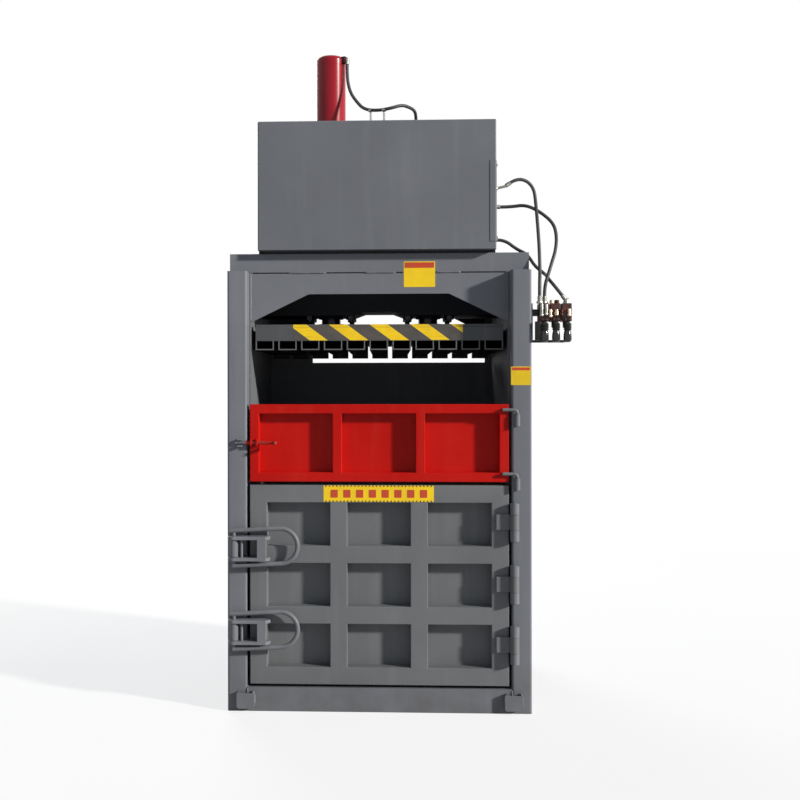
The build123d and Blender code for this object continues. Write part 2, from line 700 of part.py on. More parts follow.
def guide_sleeve():
    """The flanged sleeve that steadies the guide rod."""
    sleeve = mounting_flange(RAM_OFFSET) + post(RAM_OFFSET, 0, FLANGE_TOP, SLEEVE_TOP, SLEEVE_DIAMETER)
    return sleeve - rod_bore(RAM_OFFSET, CROSSHEAD_BOTTOM - NECK_DROP - 1, SLEEVE_TOP + 1)


def flange_bolt(x, y):
    """A hexagon bolt with its nut below the crosshead and a pointed tail."""
    tail = CROSSHEAD_BOTTOM - BOLT_TAIL
    bolt = hexagon(x, y, FLANGE_TOP, FLANGE_TOP + BOLT_HEAD_HEIGHT, BOLT_HEAD)
    shank = post(x, y, tail, FLANGE_TOP, BOLT_DIAMETER)
    shank = chamfer(shank.edges().filter_by(GeomType.CIRCLE).sort_by(Axis.Z)[0], BOLT_DIAMETER / 4)
    nut_bottom = CROSSHEAD_BOTTOM - BOLT_HEAD_HEIGHT - 3
    return bolt + shank + hexagon(x, y, nut_bottom, CROSSHEAD_BOTTOM, BOLT_HEAD)


def flange_bolts():
    places = [(x + dx, dy) for x in (-RAM_OFFSET, RAM_OFFSET) for dx, dy in flange_bolt_places()]
    return solids(*[flange_bolt(x, y) for x, y in places])


def piston_rod():
    """The rod from the platen seat up to the piston, with the spigot for it."""
    piston_top = CYLINDER_TOP - CAP_HEIGHT - PISTON_TOP_GAP
    rod = post(-RAM_OFFSET, 0, PLATE_TOP, piston_top - PISTON_HEIGHT, ROD_DIAMETER)
    return rod + post(-RAM_OFFSET, 0, piston_top - PISTON_HEIGHT, piston_top, SPIGOT_DIAMETER)


def piston():
    """The piston disc on the spigot, with two seal grooves."""
    top = CYLINDER_TOP - CAP_HEIGHT - PISTON_TOP_GAP
    diameter = BARREL_DIAMETER - 2 * BARREL_WALL - 2 * PISTON_GAP
    disc = post(-RAM_OFFSET, 0, top - PISTON_HEIGHT, top, diameter)
    for fraction in (0.3, 0.7):
        z = top - PISTON_HEIGHT * fraction
        ring = post(-RAM_OFFSET, 0, z - 4, z + 4, diameter + 2)
        disc -= ring - post(-RAM_OFFSET, 0, z - 5, z + 5, diameter - 10)
    return disc - post(-RAM_OFFSET, 0, top - PISTON_HEIGHT - 1, top + 1, SPIGOT_DIAMETER)


def guide_rod():
    rod = post(RAM_OFFSET, 0, PLATE_TOP, GUIDE_ROD_TOP, ROD_DIAMETER)
    return chamfer(rod.edges().filter_by(GeomType.CIRCLE).sort_by(Axis.Z)[-1], 6)


# Platen

def platen_plate():
    half_x = PLATEN_WIDTH / 2
    half_y = PLATEN_DEPTH / 2
    return block(-half_x, half_x, -half_y + FASCIA_GAUGE, half_y - FASCIA_GAUGE, PLATE_BOTTOM, PLATE_TOP)


def platen_channels():
    """The pressing channels under the plate, whose gaps take the baling straps."""
    half = PLATEN_DEPTH / 2
    outside = strap_bars(CHANNEL_COUNT, PLATEN_UNDERSIDE, PLATE_BOTTOM, -half, half)
    channels = []
    for bar in outside:
        box = bar.bounding_box()
        hollow = block(box.min.X + CHANNEL_GAUGE, box.max.X - CHANNEL_GAUGE, -half - 1, half + 1,
                       PLATEN_UNDERSIDE + CHANNEL_GAUGE, PLATE_BOTTOM + 1)
        channels.append(bar - hollow)
    return solids(*channels)


def fascia(side):
    """One stepped edge beam of the platen: its face, its recessed lip and a top return."""
    half_x = PLATEN_WIDTH / 2
    outer = side * PLATEN_DEPTH / 2
    inner = outer - side * FASCIA_GAUGE
    top = PLATE_BOTTOM + FASCIA_HEIGHT
    beam = block(-half_x, half_x, outer, inner, PLATE_BOTTOM, top - FASCIA_LIP)
    return beam + block(-half_x, half_x, outer - side * FASCIA_STEP, outer - side * FASCIA_RETURN,
                        top - FASCIA_LIP, top)


def platen_ribs():
    """The rear edge beam and the ribs that stiffen the plate."""
    half_x = PLATEN_WIDTH / 2
    half_y = PLATEN_DEPTH / 2
    grid = fascia(1)
    for y in (-PLATEN_RIB_OFFSET, PLATEN_RIB_OFFSET):
        grid += block(-half_x, half_x, y - PLATEN_RIB / 2, y + PLATEN_RIB / 2, PLATE_TOP,
                      PLATE_TOP + PLATEN_RIB_HEIGHT)
    for x in (-half_x + PLATEN_RIB / 2, 0, half_x - PLATEN_RIB / 2):
        grid += block(x - PLATEN_RIB / 2, x + PLATEN_RIB / 2, -half_y + FASCIA_GAUGE,
                      half_y - FASCIA_GAUGE, PLATE_TOP, PLATE_TOP + PLATEN_RIB_HEIGHT)
    return grid


def rod_seat(x):
    """The bolted foot that joins a rod to the plate."""
    seat = post(x, 0, PLATE_TOP, PLATE_TOP + SEAT_THICKNESS, SEAT_DIAMETER)
    seat += post(x, 0, PLATE_TOP + SEAT_THICKNESS, PLATE_TOP + SEAT_HUB_HEIGHT, SEAT_HUB_DIAMETER)
    for index in range(SEAT_BOLTS):
        angle = 2 * math.pi * (index + 0.5) / SEAT_BOLTS
        bolt_x = x + SEAT_BOLT_CIRCLE / 2 * math.cos(angle)
        bolt_y = SEAT_BOLT_CIRCLE / 2 * math.sin(angle)
        bolt_bottom = PLATE_TOP + SEAT_THICKNESS
        seat += hexagon(bolt_x, bolt_y, bolt_bottom, bolt_bottom + BOLT_HEAD_HEIGHT, BOLT_HEAD * 0.7)
    return seat - post(x, 0, PLATE_TOP - 1, PLATE_TOP + SEAT_HUB_HEIGHT + 1, ROD_DIAMETER)


# Doors

def lattice(x0, x1, z0, z1, depth, stile, rail, cells_across, cells_up):
    """A welded tube lattice as one frame, its front edges rounded like the tubes."""
    frame = block(x0, x1, FRONT, FRONT + depth, z0, z1)
    cell_width = (x1 - x0 - (cells_across + 1) * stile) / cells_across
    cell_height = (z1 - z0 - (cells_up + 1) * rail) / cells_up
    for column_index in range(cells_across):
        cell_x = x0 + stile + column_index * (cell_width + stile)
        for row_index in range(cells_up):
            cell_z = z0 + rail + row_index * (cell_height + rail)
            frame -= block(cell_x, cell_x + cell_width, FRONT - 1, FRONT + depth + 1, cell_z,
                           cell_z + cell_height)
    front_edges = frame.edges().filter_by_position(Axis.Y, FRONT - 0.1, FRONT + 0.1)
    return fillet(front_edges, TUBE_RADIUS)


def bale_door_frame():
    return lattice(-DOOR_HALF, DOOR_HALF, BALE_DOOR_BOTTOM, BALE_DOOR_BOTTOM + BALE_DOOR_HEIGHT,
                   BALE_DOOR_DEPTH, BALE_STILE, BALE_RAIL, BALE_COLUMNS, BALE_ROWS)


def bale_door_skin():
    y0 = FRONT + BALE_DOOR_DEPTH
    return block(-DOOR_HALF, DOOR_HALF, y0, y0 + BALE_DOOR_SKIN, BALE_DOOR_BOTTOM,
                 BALE_DOOR_BOTTOM + BALE_DOOR_HEIGHT)


def feed_door_frame():
    return lattice(-DOOR_HALF, DOOR_HALF, FEED_DOOR_BOTTOM, FEED_DOOR_BOTTOM + FEED_DOOR_HEIGHT,
                   FEED_DOOR_DEPTH, FEED_BAR, FEED_BAR, FEED_COLUMNS, 1)


def feed_door_skin():
    y0 = FRONT + FEED_DOOR_DEPTH
    return block(-DOOR_HALF, DOOR_HALF, y0, y0 + FEED_DOOR_SKIN, FEED_DOOR_BOTTOM,
                 FEED_DOOR_BOTTOM + FEED_DOOR_HEIGHT)


def knuckle(level, z0, z1):
    return post(HINGE_X, FRONT - HINGE_STANDOFF, level + z0, level + z1, HINGE_DIAMETER)


def bale_door_leaves():
    """The door halves of the three hinges: a leaf on the stile and the middle knuckle."""
    half = HINGE_LEAF_HEIGHT / 2
    leaves = []
    for level in HINGE_LEVELS:
        leaf = block(DOOR_HALF + TUBE_RADIUS - HINGE_LEAF_REACH + 22, DOOR_HALF,
                     FRONT - HINGE_LEAF_THICKNESS, FRONT, level - half, level + half)
        leaf += block(DOOR_HALF, HINGE_X, FRONT - HINGE_LEAF_THICKNESS, FRONT - COLUMN_CLEARANCE,
                      level - half, level + half)
        leaf += knuckle(level, -half, half)
        bore = HINGE_PIN + 2 * HINGE_GAP
        leaves.append(leaf - post(HINGE_X, FRONT - HINGE_STANDOFF, level - half - 1, level + half + 1, bore))
    return solids(*leaves)


def bale_door_hinges():
    """The frame halves of the three hinges: outer knuckles welded to the column, and the pin."""
    inner = HINGE_LEAF_HEIGHT / 2 + HINGE_END_GAP
    outer = HINGE_LENGTH / 2
    hinges = []
    for level in HINGE_LEVELS:
        hinge = post(HINGE_X, FRONT - HINGE_STANDOFF, level - outer - 3, level + outer + 3, HINGE_PIN)
        for z0, z1 in ((-outer, -inner), (inner, outer)):
            hinge += knuckle(level, z0, z1)
            hinge += block(HINGE_X - HINGE_PAD_HALF, HINGE_X + HINGE_PAD_HALF,
                           FRONT - HINGE_STANDOFF, FRONT, level + z0, level + z1)
        hinges.append(hinge)
    return solids(*hinges)


def feed_door_rods():
    """The bent rods on the feed door that hang in the column sleeves, with their weld pads."""
    y = FRONT - FEED_HINGE_STANDOFF
    left = FEED_HINGE_X - FEED_ROD_REACH
    rods = []
    for level in FEED_ROD_LEVELS:
        bottom = level - FEED_ROD_BEND - FEED_SLEEVE_LENGTH - 6
        points = [(left, y, level), (FEED_HINGE_X, y, level), (FEED_HINGE_X, y, bottom)]
        rod = pipe(points, FEED_ROD, [FEED_ROD_BEND])
        rod += block(left + 2, DOOR_HALF - 3, y, FRONT, level - FEED_ROD / 2, level + FEED_ROD / 2)
        collar = level - FEED_ROD_BEND - 2 - FEED_COLLAR_HEIGHT
        rod += post(FEED_HINGE_X, y, collar, collar + FEED_COLLAR_HEIGHT, FEED_SLEEVE - 2)
        rods.append(rod)
    return solids(*rods)


def feed_door_sleeves():
    """The two sleeves welded to the right column for the feed door rods."""
    y = FRONT - FEED_HINGE_STANDOFF
    sleeves = []
    for level in FEED_ROD_LEVELS:
        top = level - FEED_ROD_BEND - 2 - FEED_COLLAR_HEIGHT - FEED_COLLAR_GAP
        sleeve = post(FEED_HINGE_X, y, top - FEED_SLEEVE_LENGTH, top, FEED_SLEEVE)
        sleeve += block(FEED_HINGE_X - FEED_SLEEVE / 3, FEED_HINGE_X + FEED_SLEEVE / 3, y, FRONT,
                        top - FEED_SLEEVE_LENGTH, top)
        bore = FEED_ROD + 2 * FEED_SLEEVE_GAP
        sleeves.append(sleeve - post(FEED_HINGE_X, y, top - FEED_SLEEVE_LENGTH - 1, top + 1, bore))
    return solids(*sleeves)


def bolt_axis_y():
    return FRONT - BOLT_STANDOFF


def feed_door_bolt():
    """The sliding bolt with its bent handle."""
    y = bolt_axis_y()
    points = [(BOLT_LEFT, y, BOLT_LEVEL), (BOLT_RIGHT, y, BOLT_LEVEL), (BOLT_RIGHT, y - BOLT_HANDLE, BOLT_LEVEL)]
    bolt = pipe(points, BOLT_ROD, [BOLT_BEND])
    return bolt + Pos(BOLT_RIGHT, y - BOLT_HANDLE, BOLT_LEVEL) * Sphere(BOLT_ROD / 2)


def bolt_guides():
    """The two drilled plates on the feed door's left stile that carry the bolt."""
    y = bolt_axis_y()
    half = BOLT_GUIDE_SIZE / 2
    plates = []
    for x in (-DOOR_HALF + TUBE_RADIUS, -DOOR_HALF + FEED_BAR - TUBE_RADIUS - BOLT_GUIDE_THICKNESS):
        plate = block(x, x + BOLT_GUIDE_THICKNESS, y - half + 3, FRONT, BOLT_LEVEL - half, BOLT_LEVEL + half)
        plate = fillet(plate.edges().filter_by(Axis.X).sort_by(Axis.Y)[0:2], 8)
        hole = bar_x(x - 1, x + BOLT_GUIDE_THICKNESS + 1, y, BOLT_LEVEL, BOLT_ROD + 2 * BOLT_GAP)
        plates.append(plate - hole)
    return solids(*plates)


def latch_axis_y():
    return FRONT - LATCH_STANDOFF


def door_keepers():
    """The bolt saddle and the two latch pads welded to the left column."""
    centre_x = -(COLUMN_INNER + COLUMN_WIDTH / 3)
    pieces = []
    for side in (-1, 1):
        inner = BOLT_LEVEL + side * (BOLT_ROD / 2 + KEEPER_GAP)
        pieces.append(block(centre_x - KEEPER_WIDTH / 2, centre_x + KEEPER_WIDTH / 2,
                            FRONT - KEEPER_DEPTH, FRONT, inner, inner + side * KEEPER_LIP))
    pad_half = LATCH_EAR_GAP / 2 - 6
    for level in LATCH_LEVELS:
        pieces.append(block(LATCH_X - LATCH_HUB / 2, LATCH_X + LATCH_HUB / 2, FRONT - LATCH_KEEPER,
                            FRONT, level - pad_half, level + pad_half))
    return solids(*pieces)


def latch_ear(z0):
    """One horizontal latch plate: welded to the stile, overhanging the column, hooked at its end."""
    y = latch_axis_y()
    back = FRONT - COLUMN_CLEARANCE
    front = y - LATCH_EAR_RADIUS + 2
    hook_left = LATCH_EAR_RIGHT - LATCH_HOOK_WIDTH
    outline = Polygon((-DOOR_HALF, back), (-DOOR_HALF, FRONT), (hook_left, FRONT),
                      (hook_left, FRONT - LATCH_HOOK_START), (LATCH_EAR_RIGHT, FRONT - LATCH_HOOK_TIP),
                      (LATCH_EAR_RIGHT - 4, FRONT - LATCH_HOOK_FRONT), (LATCH_CROSS_RIGHT, front),
                      (LATCH_X, front), (LATCH_X, back), align=None)
    nose = Pos(LATCH_X, y) * Circle(LATCH_EAR_RADIUS)
    hole = Pos(LATCH_X, y) * Circle(LATCH_PIN / 2 + LATCH_PIN_GAP)
    return Pos(0, 0, z0) * extrude(outline + nose - hole, LATCH_EAR, dir=(0, 0, 1))


def latch_brackets():
    """The fixed halves of both latches: two ears, a cross plate and a spacer each."""
    y = latch_axis_y()
    front = y - LATCH_EAR_RADIUS + 2
    brackets = []
    for level in LATCH_LEVELS:
        low = level - LATCH_EAR_GAP / 2
        high = level + LATCH_EAR_GAP / 2
        bracket = latch_ear(low - LATCH_EAR) + latch_ear(high)
        bracket += block(LATCH_CROSS_LEFT, LATCH_CROSS_RIGHT, front, front + LATCH_CROSS_THICKNESS, low, high)
        bracket += post(LATCH_SPACER_X, y, low, high, LATCH_SPACER)
        brackets.append(bracket)
    return solids(*brackets)


def latch_loop(level):
    """A latch handle: the round bar loop, its pivot pin and the hub between the ears."""
    y = latch_axis_y()
    arc_x = LATCH_LOOP_RIGHT - LATCH_BAR / 2 - LATCH_ARM_OFFSET
    arm = arc_x - LATCH_X
    upper = Line((0, 0, LATCH_ARM_OFFSET), (arm, 0, LATCH_ARM_OFFSET))
    bend = ThreePointArc((arm, 0, LATCH_ARM_OFFSET), (arm + LATCH_ARM_OFFSET, 0, 0),
                         (arm, 0, -LATCH_ARM_OFFSET))
    lower = Line((arm, 0, -LATCH_ARM_OFFSET), (0, 0, -LATCH_ARM_OFFSET))
    path = Wire([upper, bend, lower])
    start = Plane(origin=path @ 0, z_dir=path % 0)
    loop = sweep(start * Circle(LATCH_BAR / 2), path=path)
    for side in (-1, 1):
        loop += Pos(0, 0, side * LATCH_ARM_OFFSET) * Sphere(LATCH_BAR / 2)
    pivot = Pos(LATCH_X, y, level)
    handle = pivot * Rot(0, -LATCH_TILT, 0) * loop
    handle += post(LATCH_X, y, level - LATCH_ARM_OFFSET, level + LATCH_ARM_OFFSET, LATCH_PIN)
    half = LATCH_EAR_GAP / 2 - LATCH_HUB_GAP
    return handle + post(LATCH_X, y, level - half, level + half, LATCH_HUB)


# Power pack and its cover

def cover_plinth():
    """The base plate of the power pack, set back under the cover."""
    plate = block(COVER_LEFT + PLINTH_INSET, COVER_RIGHT - PLINTH_INSET, BEAM_FRONT + 5,
                  COVER_REAR - PLINTH_INSET, FRAME_TOP, COVER_BOTTOM)
    for x, diameter in ((-RAM_OFFSET, BARREL_DIAMETER), (RAM_OFFSET, SLEEVE_DIAMETER)):
        plate -= post(x, 0, FRAME_TOP - 1, COVER_BOTTOM + 1, diameter + 2 * NECK_GAP)
    return plate


def cover_shell():
    """The folded sheet cover, open below, with its return flange, roof holes and rear vents."""
    outside = block(COVER_LEFT, COVER_RIGHT, COVER_FRONT, COVER_REAR, COVER_BOTTOM, COVER_TOP)
    outside = fillet(outside.edges().filter_by(Axis.Z) + outside.edges().group_by(Axis.Z)[-1], COVER_RADIUS)
    shell = outside - block(COVER_LEFT + COVER_GAUGE, COVER_RIGHT - COVER_GAUGE,
                            COVER_FRONT + COVER_GAUGE, COVER_REAR - COVER_GAUGE,
                            COVER_BOTTOM + COVER_GAUGE, COVER_TOP - COVER_GAUGE)
    shell -= block(COVER_LEFT + COVER_RETURN, COVER_RIGHT - COVER_RETURN,
                   COVER_FRONT + COVER_FRONT_RETURN, COVER_REAR - COVER_RETURN,
                   COVER_BOTTOM - 1, COVER_BOTTOM + COVER_GAUGE + 1)
    shell -= post(-RAM_OFFSET, 0, COVER_TOP - COVER_RETURN, COVER_TOP + 1, BARREL_DIAMETER + COVER_HOLE_GAP)
    vent_x = COVER_CENTRE_X
    for index in range(VENT_COUNT):
        z = COVER_BOTTOM + VENT_LEVEL + index * VENT_PITCH
        for side in (-1, 1):
            centre = vent_x + side * VENT_WIDTH * 0.75
            shell -= block(centre - VENT_WIDTH / 2, centre + VENT_WIDTH / 2, COVER_REAR - COVER_GAUGE - 1,
                           COVER_REAR + 1, z, z + VENT_HEIGHT)
    return shell


def service_panel():
    """The removable side panel that wraps round the front corner, held by screws."""
    outer = block(COVER_RIGHT - PANEL_WRAP, PANEL_FACE, COVER_FRONT - PANEL_GAUGE,
                  COVER_FRONT + PANEL_DEPTH, PANEL_BOTTOM, PANEL_TOP)
    outer = fillet(outer.edges().filter_by(Axis.Z).sort_by(lambda e: e.center().X - e.center().Y)[-1],
                   COVER_RADIUS + PANEL_GAUGE)
    inner = block(COVER_RIGHT - PANEL_WRAP - 1, COVER_RIGHT, COVER_FRONT, COVER_FRONT + PANEL_DEPTH + 1,
                  PANEL_BOTTOM - 1, PANEL_TOP + 1)
    inner = fillet(inner.edges().filter_by(Axis.Z).sort_by(lambda e: e.center().X - e.center().Y)[-1],
                   COVER_RADIUS)
    panel = outer - inner
    for y in (COVER_FRONT + PANEL_SCREW_INSET, COVER_FRONT + PANEL_DEPTH - PANEL_SCREW_INSET):
        for z in (PANEL_BOTTOM + PANEL_SCREW_INSET, PANEL_TOP - PANEL_SCREW_INSET):
            panel += bar_x(PANEL_FACE, PANEL_FACE + PANEL_SCREW_HEAD, y, z, PANEL_SCREW)
    return panel


def oil_tank():
    """The oil tank with its lid and filler cap."""
    x0 = TANK_CENTRE_X - TANK_WIDTH / 2
    x1 = TANK_CENTRE_X + TANK_WIDTH / 2
    y0 = TANK_CENTRE_Y - TANK_DEPTH / 2
    y1 = TANK_CENTRE_Y + TANK_DEPTH / 2
    top = COVER_BOTTOM + TANK_HEIGHT
    tub = block(x0, x1, y0, y1, COVER_BOTTOM, top)
    tub = fillet(tub.edges().filter_by(Axis.Z), 4 * TANK_WALL)
    inside = block(x0 + TANK_WALL, x1 - TANK_WALL, y0 + TANK_WALL, y1 - TANK_WALL,
                   COVER_BOTTOM + TANK_WALL, top + 1)
    tub -= fillet(inside.edges().filter_by(Axis.Z), 3 * TANK_WALL)
    lid = block(x0, x1, y0, y1, top, top + TANK_LID)
    lid = fillet(lid.edges().filter_by(Axis.Z), 4 * TANK_WALL)
    lid -= post(motor_x(), TANK_CENTRE_Y, top - 1, top + TANK_LID + 1, PUMP_HOLE)
    lid += post(x1 - FILLER_DIAMETER, TANK_CENTRE_Y, top + TANK_LID, top + TANK_LID + FILLER_HEIGHT,
                FILLER_DIAMETER)
    return solids(tub, lid)


def motor_x():
    return TANK_CENTRE_X - TANK_WIDTH / 2 + MOTOR_FLANGE / 2 + 20


def pump_motor():
    """The upright electric motor: flange, finned body and fan cowl."""
    x = motor_x()
    bottom = COVER_BOTTOM + TANK_HEIGHT + TANK_LID
    top = bottom + MOTOR_FLANGE_THICKNESS + MOTOR_HEIGHT
    motor = post(x, TANK_CENTRE_Y, bottom, bottom + MOTOR_FLANGE_THICKNESS, MOTOR_FLANGE)
    body = post(x, TANK_CENTRE_Y, bottom + MOTOR_FLANGE_THICKNESS, top - MOTOR_COWL, MOTOR_DIAMETER)
    slot_radius = MOTOR_DIAMETER / 2 - MOTOR_FIN_DEPTH / 2 + 0.5
    for index in range(MOTOR_FINS):
        turn = Pos(x, TANK_CENTRE_Y, bottom + MOTOR_FLANGE_THICKNESS + (MOTOR_HEIGHT - MOTOR_COWL) / 2)
        slot = Box(MOTOR_FIN_DEPTH + 1, MOTOR_FIN_GAP, MOTOR_HEIGHT - MOTOR_COWL - 20)
        body -= turn * Rot(0, 0, index * 360 / MOTOR_FINS) * Pos(slot_radius, 0, 0) * slot
    cowl = post(x, TANK_CENTRE_Y, top - MOTOR_COWL, top, MOTOR_DIAMETER + 6)
    cowl = fillet(cowl.edges().filter_by(GeomType.CIRCLE).sort_by(Axis.Z)[-1], 14)
    return motor + body + cowl


def hydraulic_pump():
    """The pump that hangs from the motor flange into the oil."""
    x = motor_x()
    top = COVER_BOTTOM + TANK_HEIGHT + TANK_LID
    pump = post(x, TANK_CENTRE_Y, top - TANK_LID - PUMP_HEIGHT, top, PUMP_DIAMETER)
    return fillet(pump.edges().filter_by(GeomType.CIRCLE).sort_by(Axis.Z)[0], 8)


# Hoses and fittings

def upright_union(x, y, seat):
    """A hexagon nut and ferrule standing on a seat."""
    nut_top = seat + UNION_NUT_HEIGHT
    return hexagon(x, y, seat, nut_top, UNION_NUT) + post(x, y, nut_top, nut_top + UNION_LENGTH, UNION_FERRULE)


def side_union(y, z):
    """A union that stands out of the service panel along X."""
    union = upright_union(0, 0, 0)
    return Pos(PANEL_FACE, y, z) * Rot(0, 90, 0) * union


def stub_union():
    """The upper outlet: a nut, a bent steel pipe that rises from it, and the ferrule on its end."""
    y, z = UPPER_OUTLET
    nut = Pos(PANEL_FACE, y, z) * Rot(0, 90, 0) * hexagon(0, 0, 0, UNION_NUT_HEIGHT, UNION_NUT)
    points = [(STUB_START_X, y, z), (STUB_BEND_X, y, STUB_BEND_Z), (STUB_END_X, y, STUB_END_Z)]
    stub = pipe(points, STUB_PIPE, [2 * STUB_PIPE])
    ferrule = Pos(0, 0, STUB_FERRULE_START + UNION_LENGTH / 2) * Cylinder(UNION_FERRULE / 2, UNION_LENGTH)
    return nut + stub + Pos(STUB_BEND_X, y, STUB_BEND_Z) * Rot(0, 90 - STUB_FERRULE_TILT, 0) * ferrule


def bulkhead_unions():
    """The three outlets in the side panel and the inlet on the roof."""
    return solids(stub_union(), side_union(*MIDDLE_OUTLET), side_union(*LOWER_OUTLET),
                  upright_union(ROOF_INLET[0], ROOF_INLET[1], COVER_TOP))


def clip_place(run):
    """The middle of a run of the cylinder hose, and the direction of the run."""
    start = Vector(*CYLINDER_HOSE_ROUTE[run])
    end = Vector(*CYLINDER_HOSE_ROUTE[run + 1])
    return (start + end) * 0.5, end - start


def hose_clips():
    """Sheet posts on the roof, each with a saddle under the middle of the cylinder hose."""
    clips = []
    first_run = len(CYLINDER_HOSE_ROUTE) // 2 - CLIP_COUNT
    for run in range(first_run, first_run + CLIP_COUNT):
        middle, direction = clip_place(run)
        heading = math.degrees(math.atan2(direction.Y, direction.X))
        slope = math.degrees(math.atan2(direction.Z, math.hypot(direction.X, direction.Y)))
        bore = HOSE_DIAMETER / 2 + CLIP_GAP
        saddle = Cylinder(bore + CLIP_THICKNESS, CLIP_WIDTH) - Cylinder(bore, CLIP_WIDTH + 2)
        saddle = Rot(0, 90 - slope, 0) * saddle
        saddle -= Pos(0, 0, HOSE_DIAMETER) * Box(4 * HOSE_DIAMETER, 4 * HOSE_DIAMETER, 2 * HOSE_DIAMETER)
        top = middle.Z - bore - CLIP_THICKNESS / 2
        leg = block(-CLIP_WIDTH / 2 + 2, CLIP_WIDTH / 2 - 2, -CLIP_THICKNESS / 2, CLIP_THICKNESS / 2,
                    COVER_TOP - middle.Z, top - middle.Z)
        foot = block(-CLIP_FOOT / 2, CLIP_FOOT / 2, -CLIP_WIDTH, CLIP_WIDTH, COVER_TOP - middle.Z,
                     COVER_TOP - middle.Z + CLIP_THICKNESS)
        clip = saddle + leg + foot
        clips.append(Pos(middle.X, middle.Y, middle.Z) * Rot(0, 0, heading) * clip)
    return solids(*clips)


def hose(route):
    return pipe(route, HOSE_DIAMETER, hose_radii(route))


# Valve bank

def section_x(index):
    return VALVE_LEFT + VALVE_SECTION_WIDTH / 2 + index * VALVE_PITCH


def lever_axis():
    return VALVE_FRONT - LEVER_STANDOFF, VALVE_BOTTOM + LEVER_RISE


def valve_body():
    """The bank of cast valve sections, with lever ears in front and spring caps below."""
    rear = VALVE_FRONT + VALVE_DEPTH
    right = section_x(VALVE_SECTIONS - 1) + VALVE_SECTION_WIDTH / 2
    inset = VALVE_NECK_INSET
    body = block(VALVE_LEFT + inset, right - inset, VALVE_FRONT + inset, rear - inset,
                 VALVE_BOTTOM + inset, VALVE_TOP - inset)
    axis_y, axis_z = lever_axis()
    ear_inner = LEVER_HUB_WIDTH / 2 + LEVER_EAR_GAP
    for index in range(VALVE_SECTIONS):
        x = section_x(index)
        half = VALVE_SECTION_WIDTH / 2
        section = block(x - half, x + half, VALVE_FRONT, rear, VALVE_BOTTOM, VALVE_TOP)
        body += fillet(section.edges(), 3)
        body += post(x, (VALVE_FRONT + rear) / 2, VALVE_BOTTOM - SPRING_CAP_HEIGHT, VALVE_BOTTOM, SPRING_CAP)
        for side in (-1, 1):
            inner = x + side * ear_inner
            outer = inner + side * LEVER_EAR
            ear = block(inner, outer, axis_y, VALVE_FRONT + 1, axis_z - LEVER_HUB / 2, axis_z + LEVER_HUB / 2)
            ear += bar_x(min(inner, outer), max(inner, outer), axis_y, axis_z, LEVER_HUB)
            body += ear
        pin_half = ear_inner + LEVER_EAR
        body += bar_x(x - pin_half, x + pin_half, axis_y, axis_z, LEVER_PIN)
    return body


def valve_lever(index):
    """One lever: a hub on its pin, a round rod and a thick grip with rounded ends."""
    x = section_x(index)
    axis_y, axis_z = lever_axis()
    lever = bar_x(x - LEVER_HUB_WIDTH / 2, x + LEVER_HUB_WIDTH / 2, axis_y, axis_z, LEVER_HUB)
    bottom = axis_z - LEVER_LENGTH
    lever += post(x, axis_y, bottom + 5, axis_z, LEVER_ROD)
    grip = post(x, axis_y, bottom, bottom + GRIP_LENGTH, GRIP_DIAMETER)
    grip = fillet(grip.edges().filter_by(GeomType.CIRCLE), GRIP_DIAMETER / 2 - 3)
    lever += grip
    return lever - bar_x(x - LEVER_HUB_WIDTH, x + LEVER_HUB_WIDTH, axis_y, axis_z, LEVER_PIN + 2 * LEVER_PIN_GAP)


def elbow_union():
    """The tilted union of the lower hose."""
    x, y = LOWER_INLET
    union = hexagon(x, y, VALVE_TOP, VALVE_TOP + UNION_NUT_HEIGHT, UNION_NUT)
    union += post(x, y, VALVE_TOP, ELBOW_CENTRE, UNION_FERRULE)
    union += Pos(x, y, ELBOW_CENTRE) * Sphere(UNION_FERRULE / 2)
    arm = Pos(0, 0, ELBOW_REACH / 2) * Cylinder(UNION_FERRULE / 2, ELBOW_REACH)
    return union + Pos(x, y, ELBOW_CENTRE) * Rot(0, -ELBOW_TILT, 0) * arm


def valve_fittings():
    """The steel unions and brass plugs on top of the valve bank."""
    pieces = [upright_union(UPPER_INLET[0], UPPER_INLET[1], VALVE_TOP),
              upright_union(MIDDLE_INLET[0], MIDDLE_INLET[1], VALVE_TOP), elbow_union()]
    y = VALVE_FRONT + VALVE_DEPTH / 2
    for x in (section_x(1) - PLUG_SPACING / 2, section_x(1) + PLUG_SPACING / 2):
        plug = post(x, y, VALVE_TOP, VALVE_TOP + PLUG_HEIGHT, PLUG_DIAMETER)
        pieces.append(chamfer(plug.edges().filter_by(GeomType.CIRCLE).sort_by(Axis.Z)[-1], 3))
    return solids(*pieces)


def valve_bracket():
    """The plate on the column's side with an arm and a shelf that carry the valve bank."""
    plate_right = HALF_WIDTH + BRACKET_GAUGE
    y0 = FRONT + 12
    bracket = block(HALF_WIDTH, plate_right, y0, y0 + BRACKET_DEPTH, BRACKET_BOTTOM,
                    BRACKET_BOTTOM + BRACKET_HEIGHT)
    arm_y = VALVE_FRONT + VALVE_DEPTH / 2
    arm_z = VALVE_BOTTOM + VALVE_HEIGHT / 2
    bracket += block(plate_right, VALVE_LEFT, arm_y - 18, arm_y + 18, arm_z - 14, arm_z + 14)
    shelf_top = BRACKET_BOTTOM + SHELF_THICKNESS
    shelf_rear = VALVE_FRONT + VALVE_DEPTH + 5
    shelf = block(plate_right, SHELF_RIGHT, shelf_rear - SHELF_DEPTH, shelf_rear, BRACKET_BOTTOM, shelf_top)
    bracket += fillet(shelf.edges().filter_by(Axis.Z).sort_by(Axis.X)[-2:], 12)
    riser_left = VALVE_LEFT - 8
    riser = block(riser_left, VALVE_LEFT + 6, shelf_rear - SHELF_DEPTH, shelf_rear - 10, BRACKET_BOTTOM,
                  VALVE_BOTTOM)
    return bracket + riser


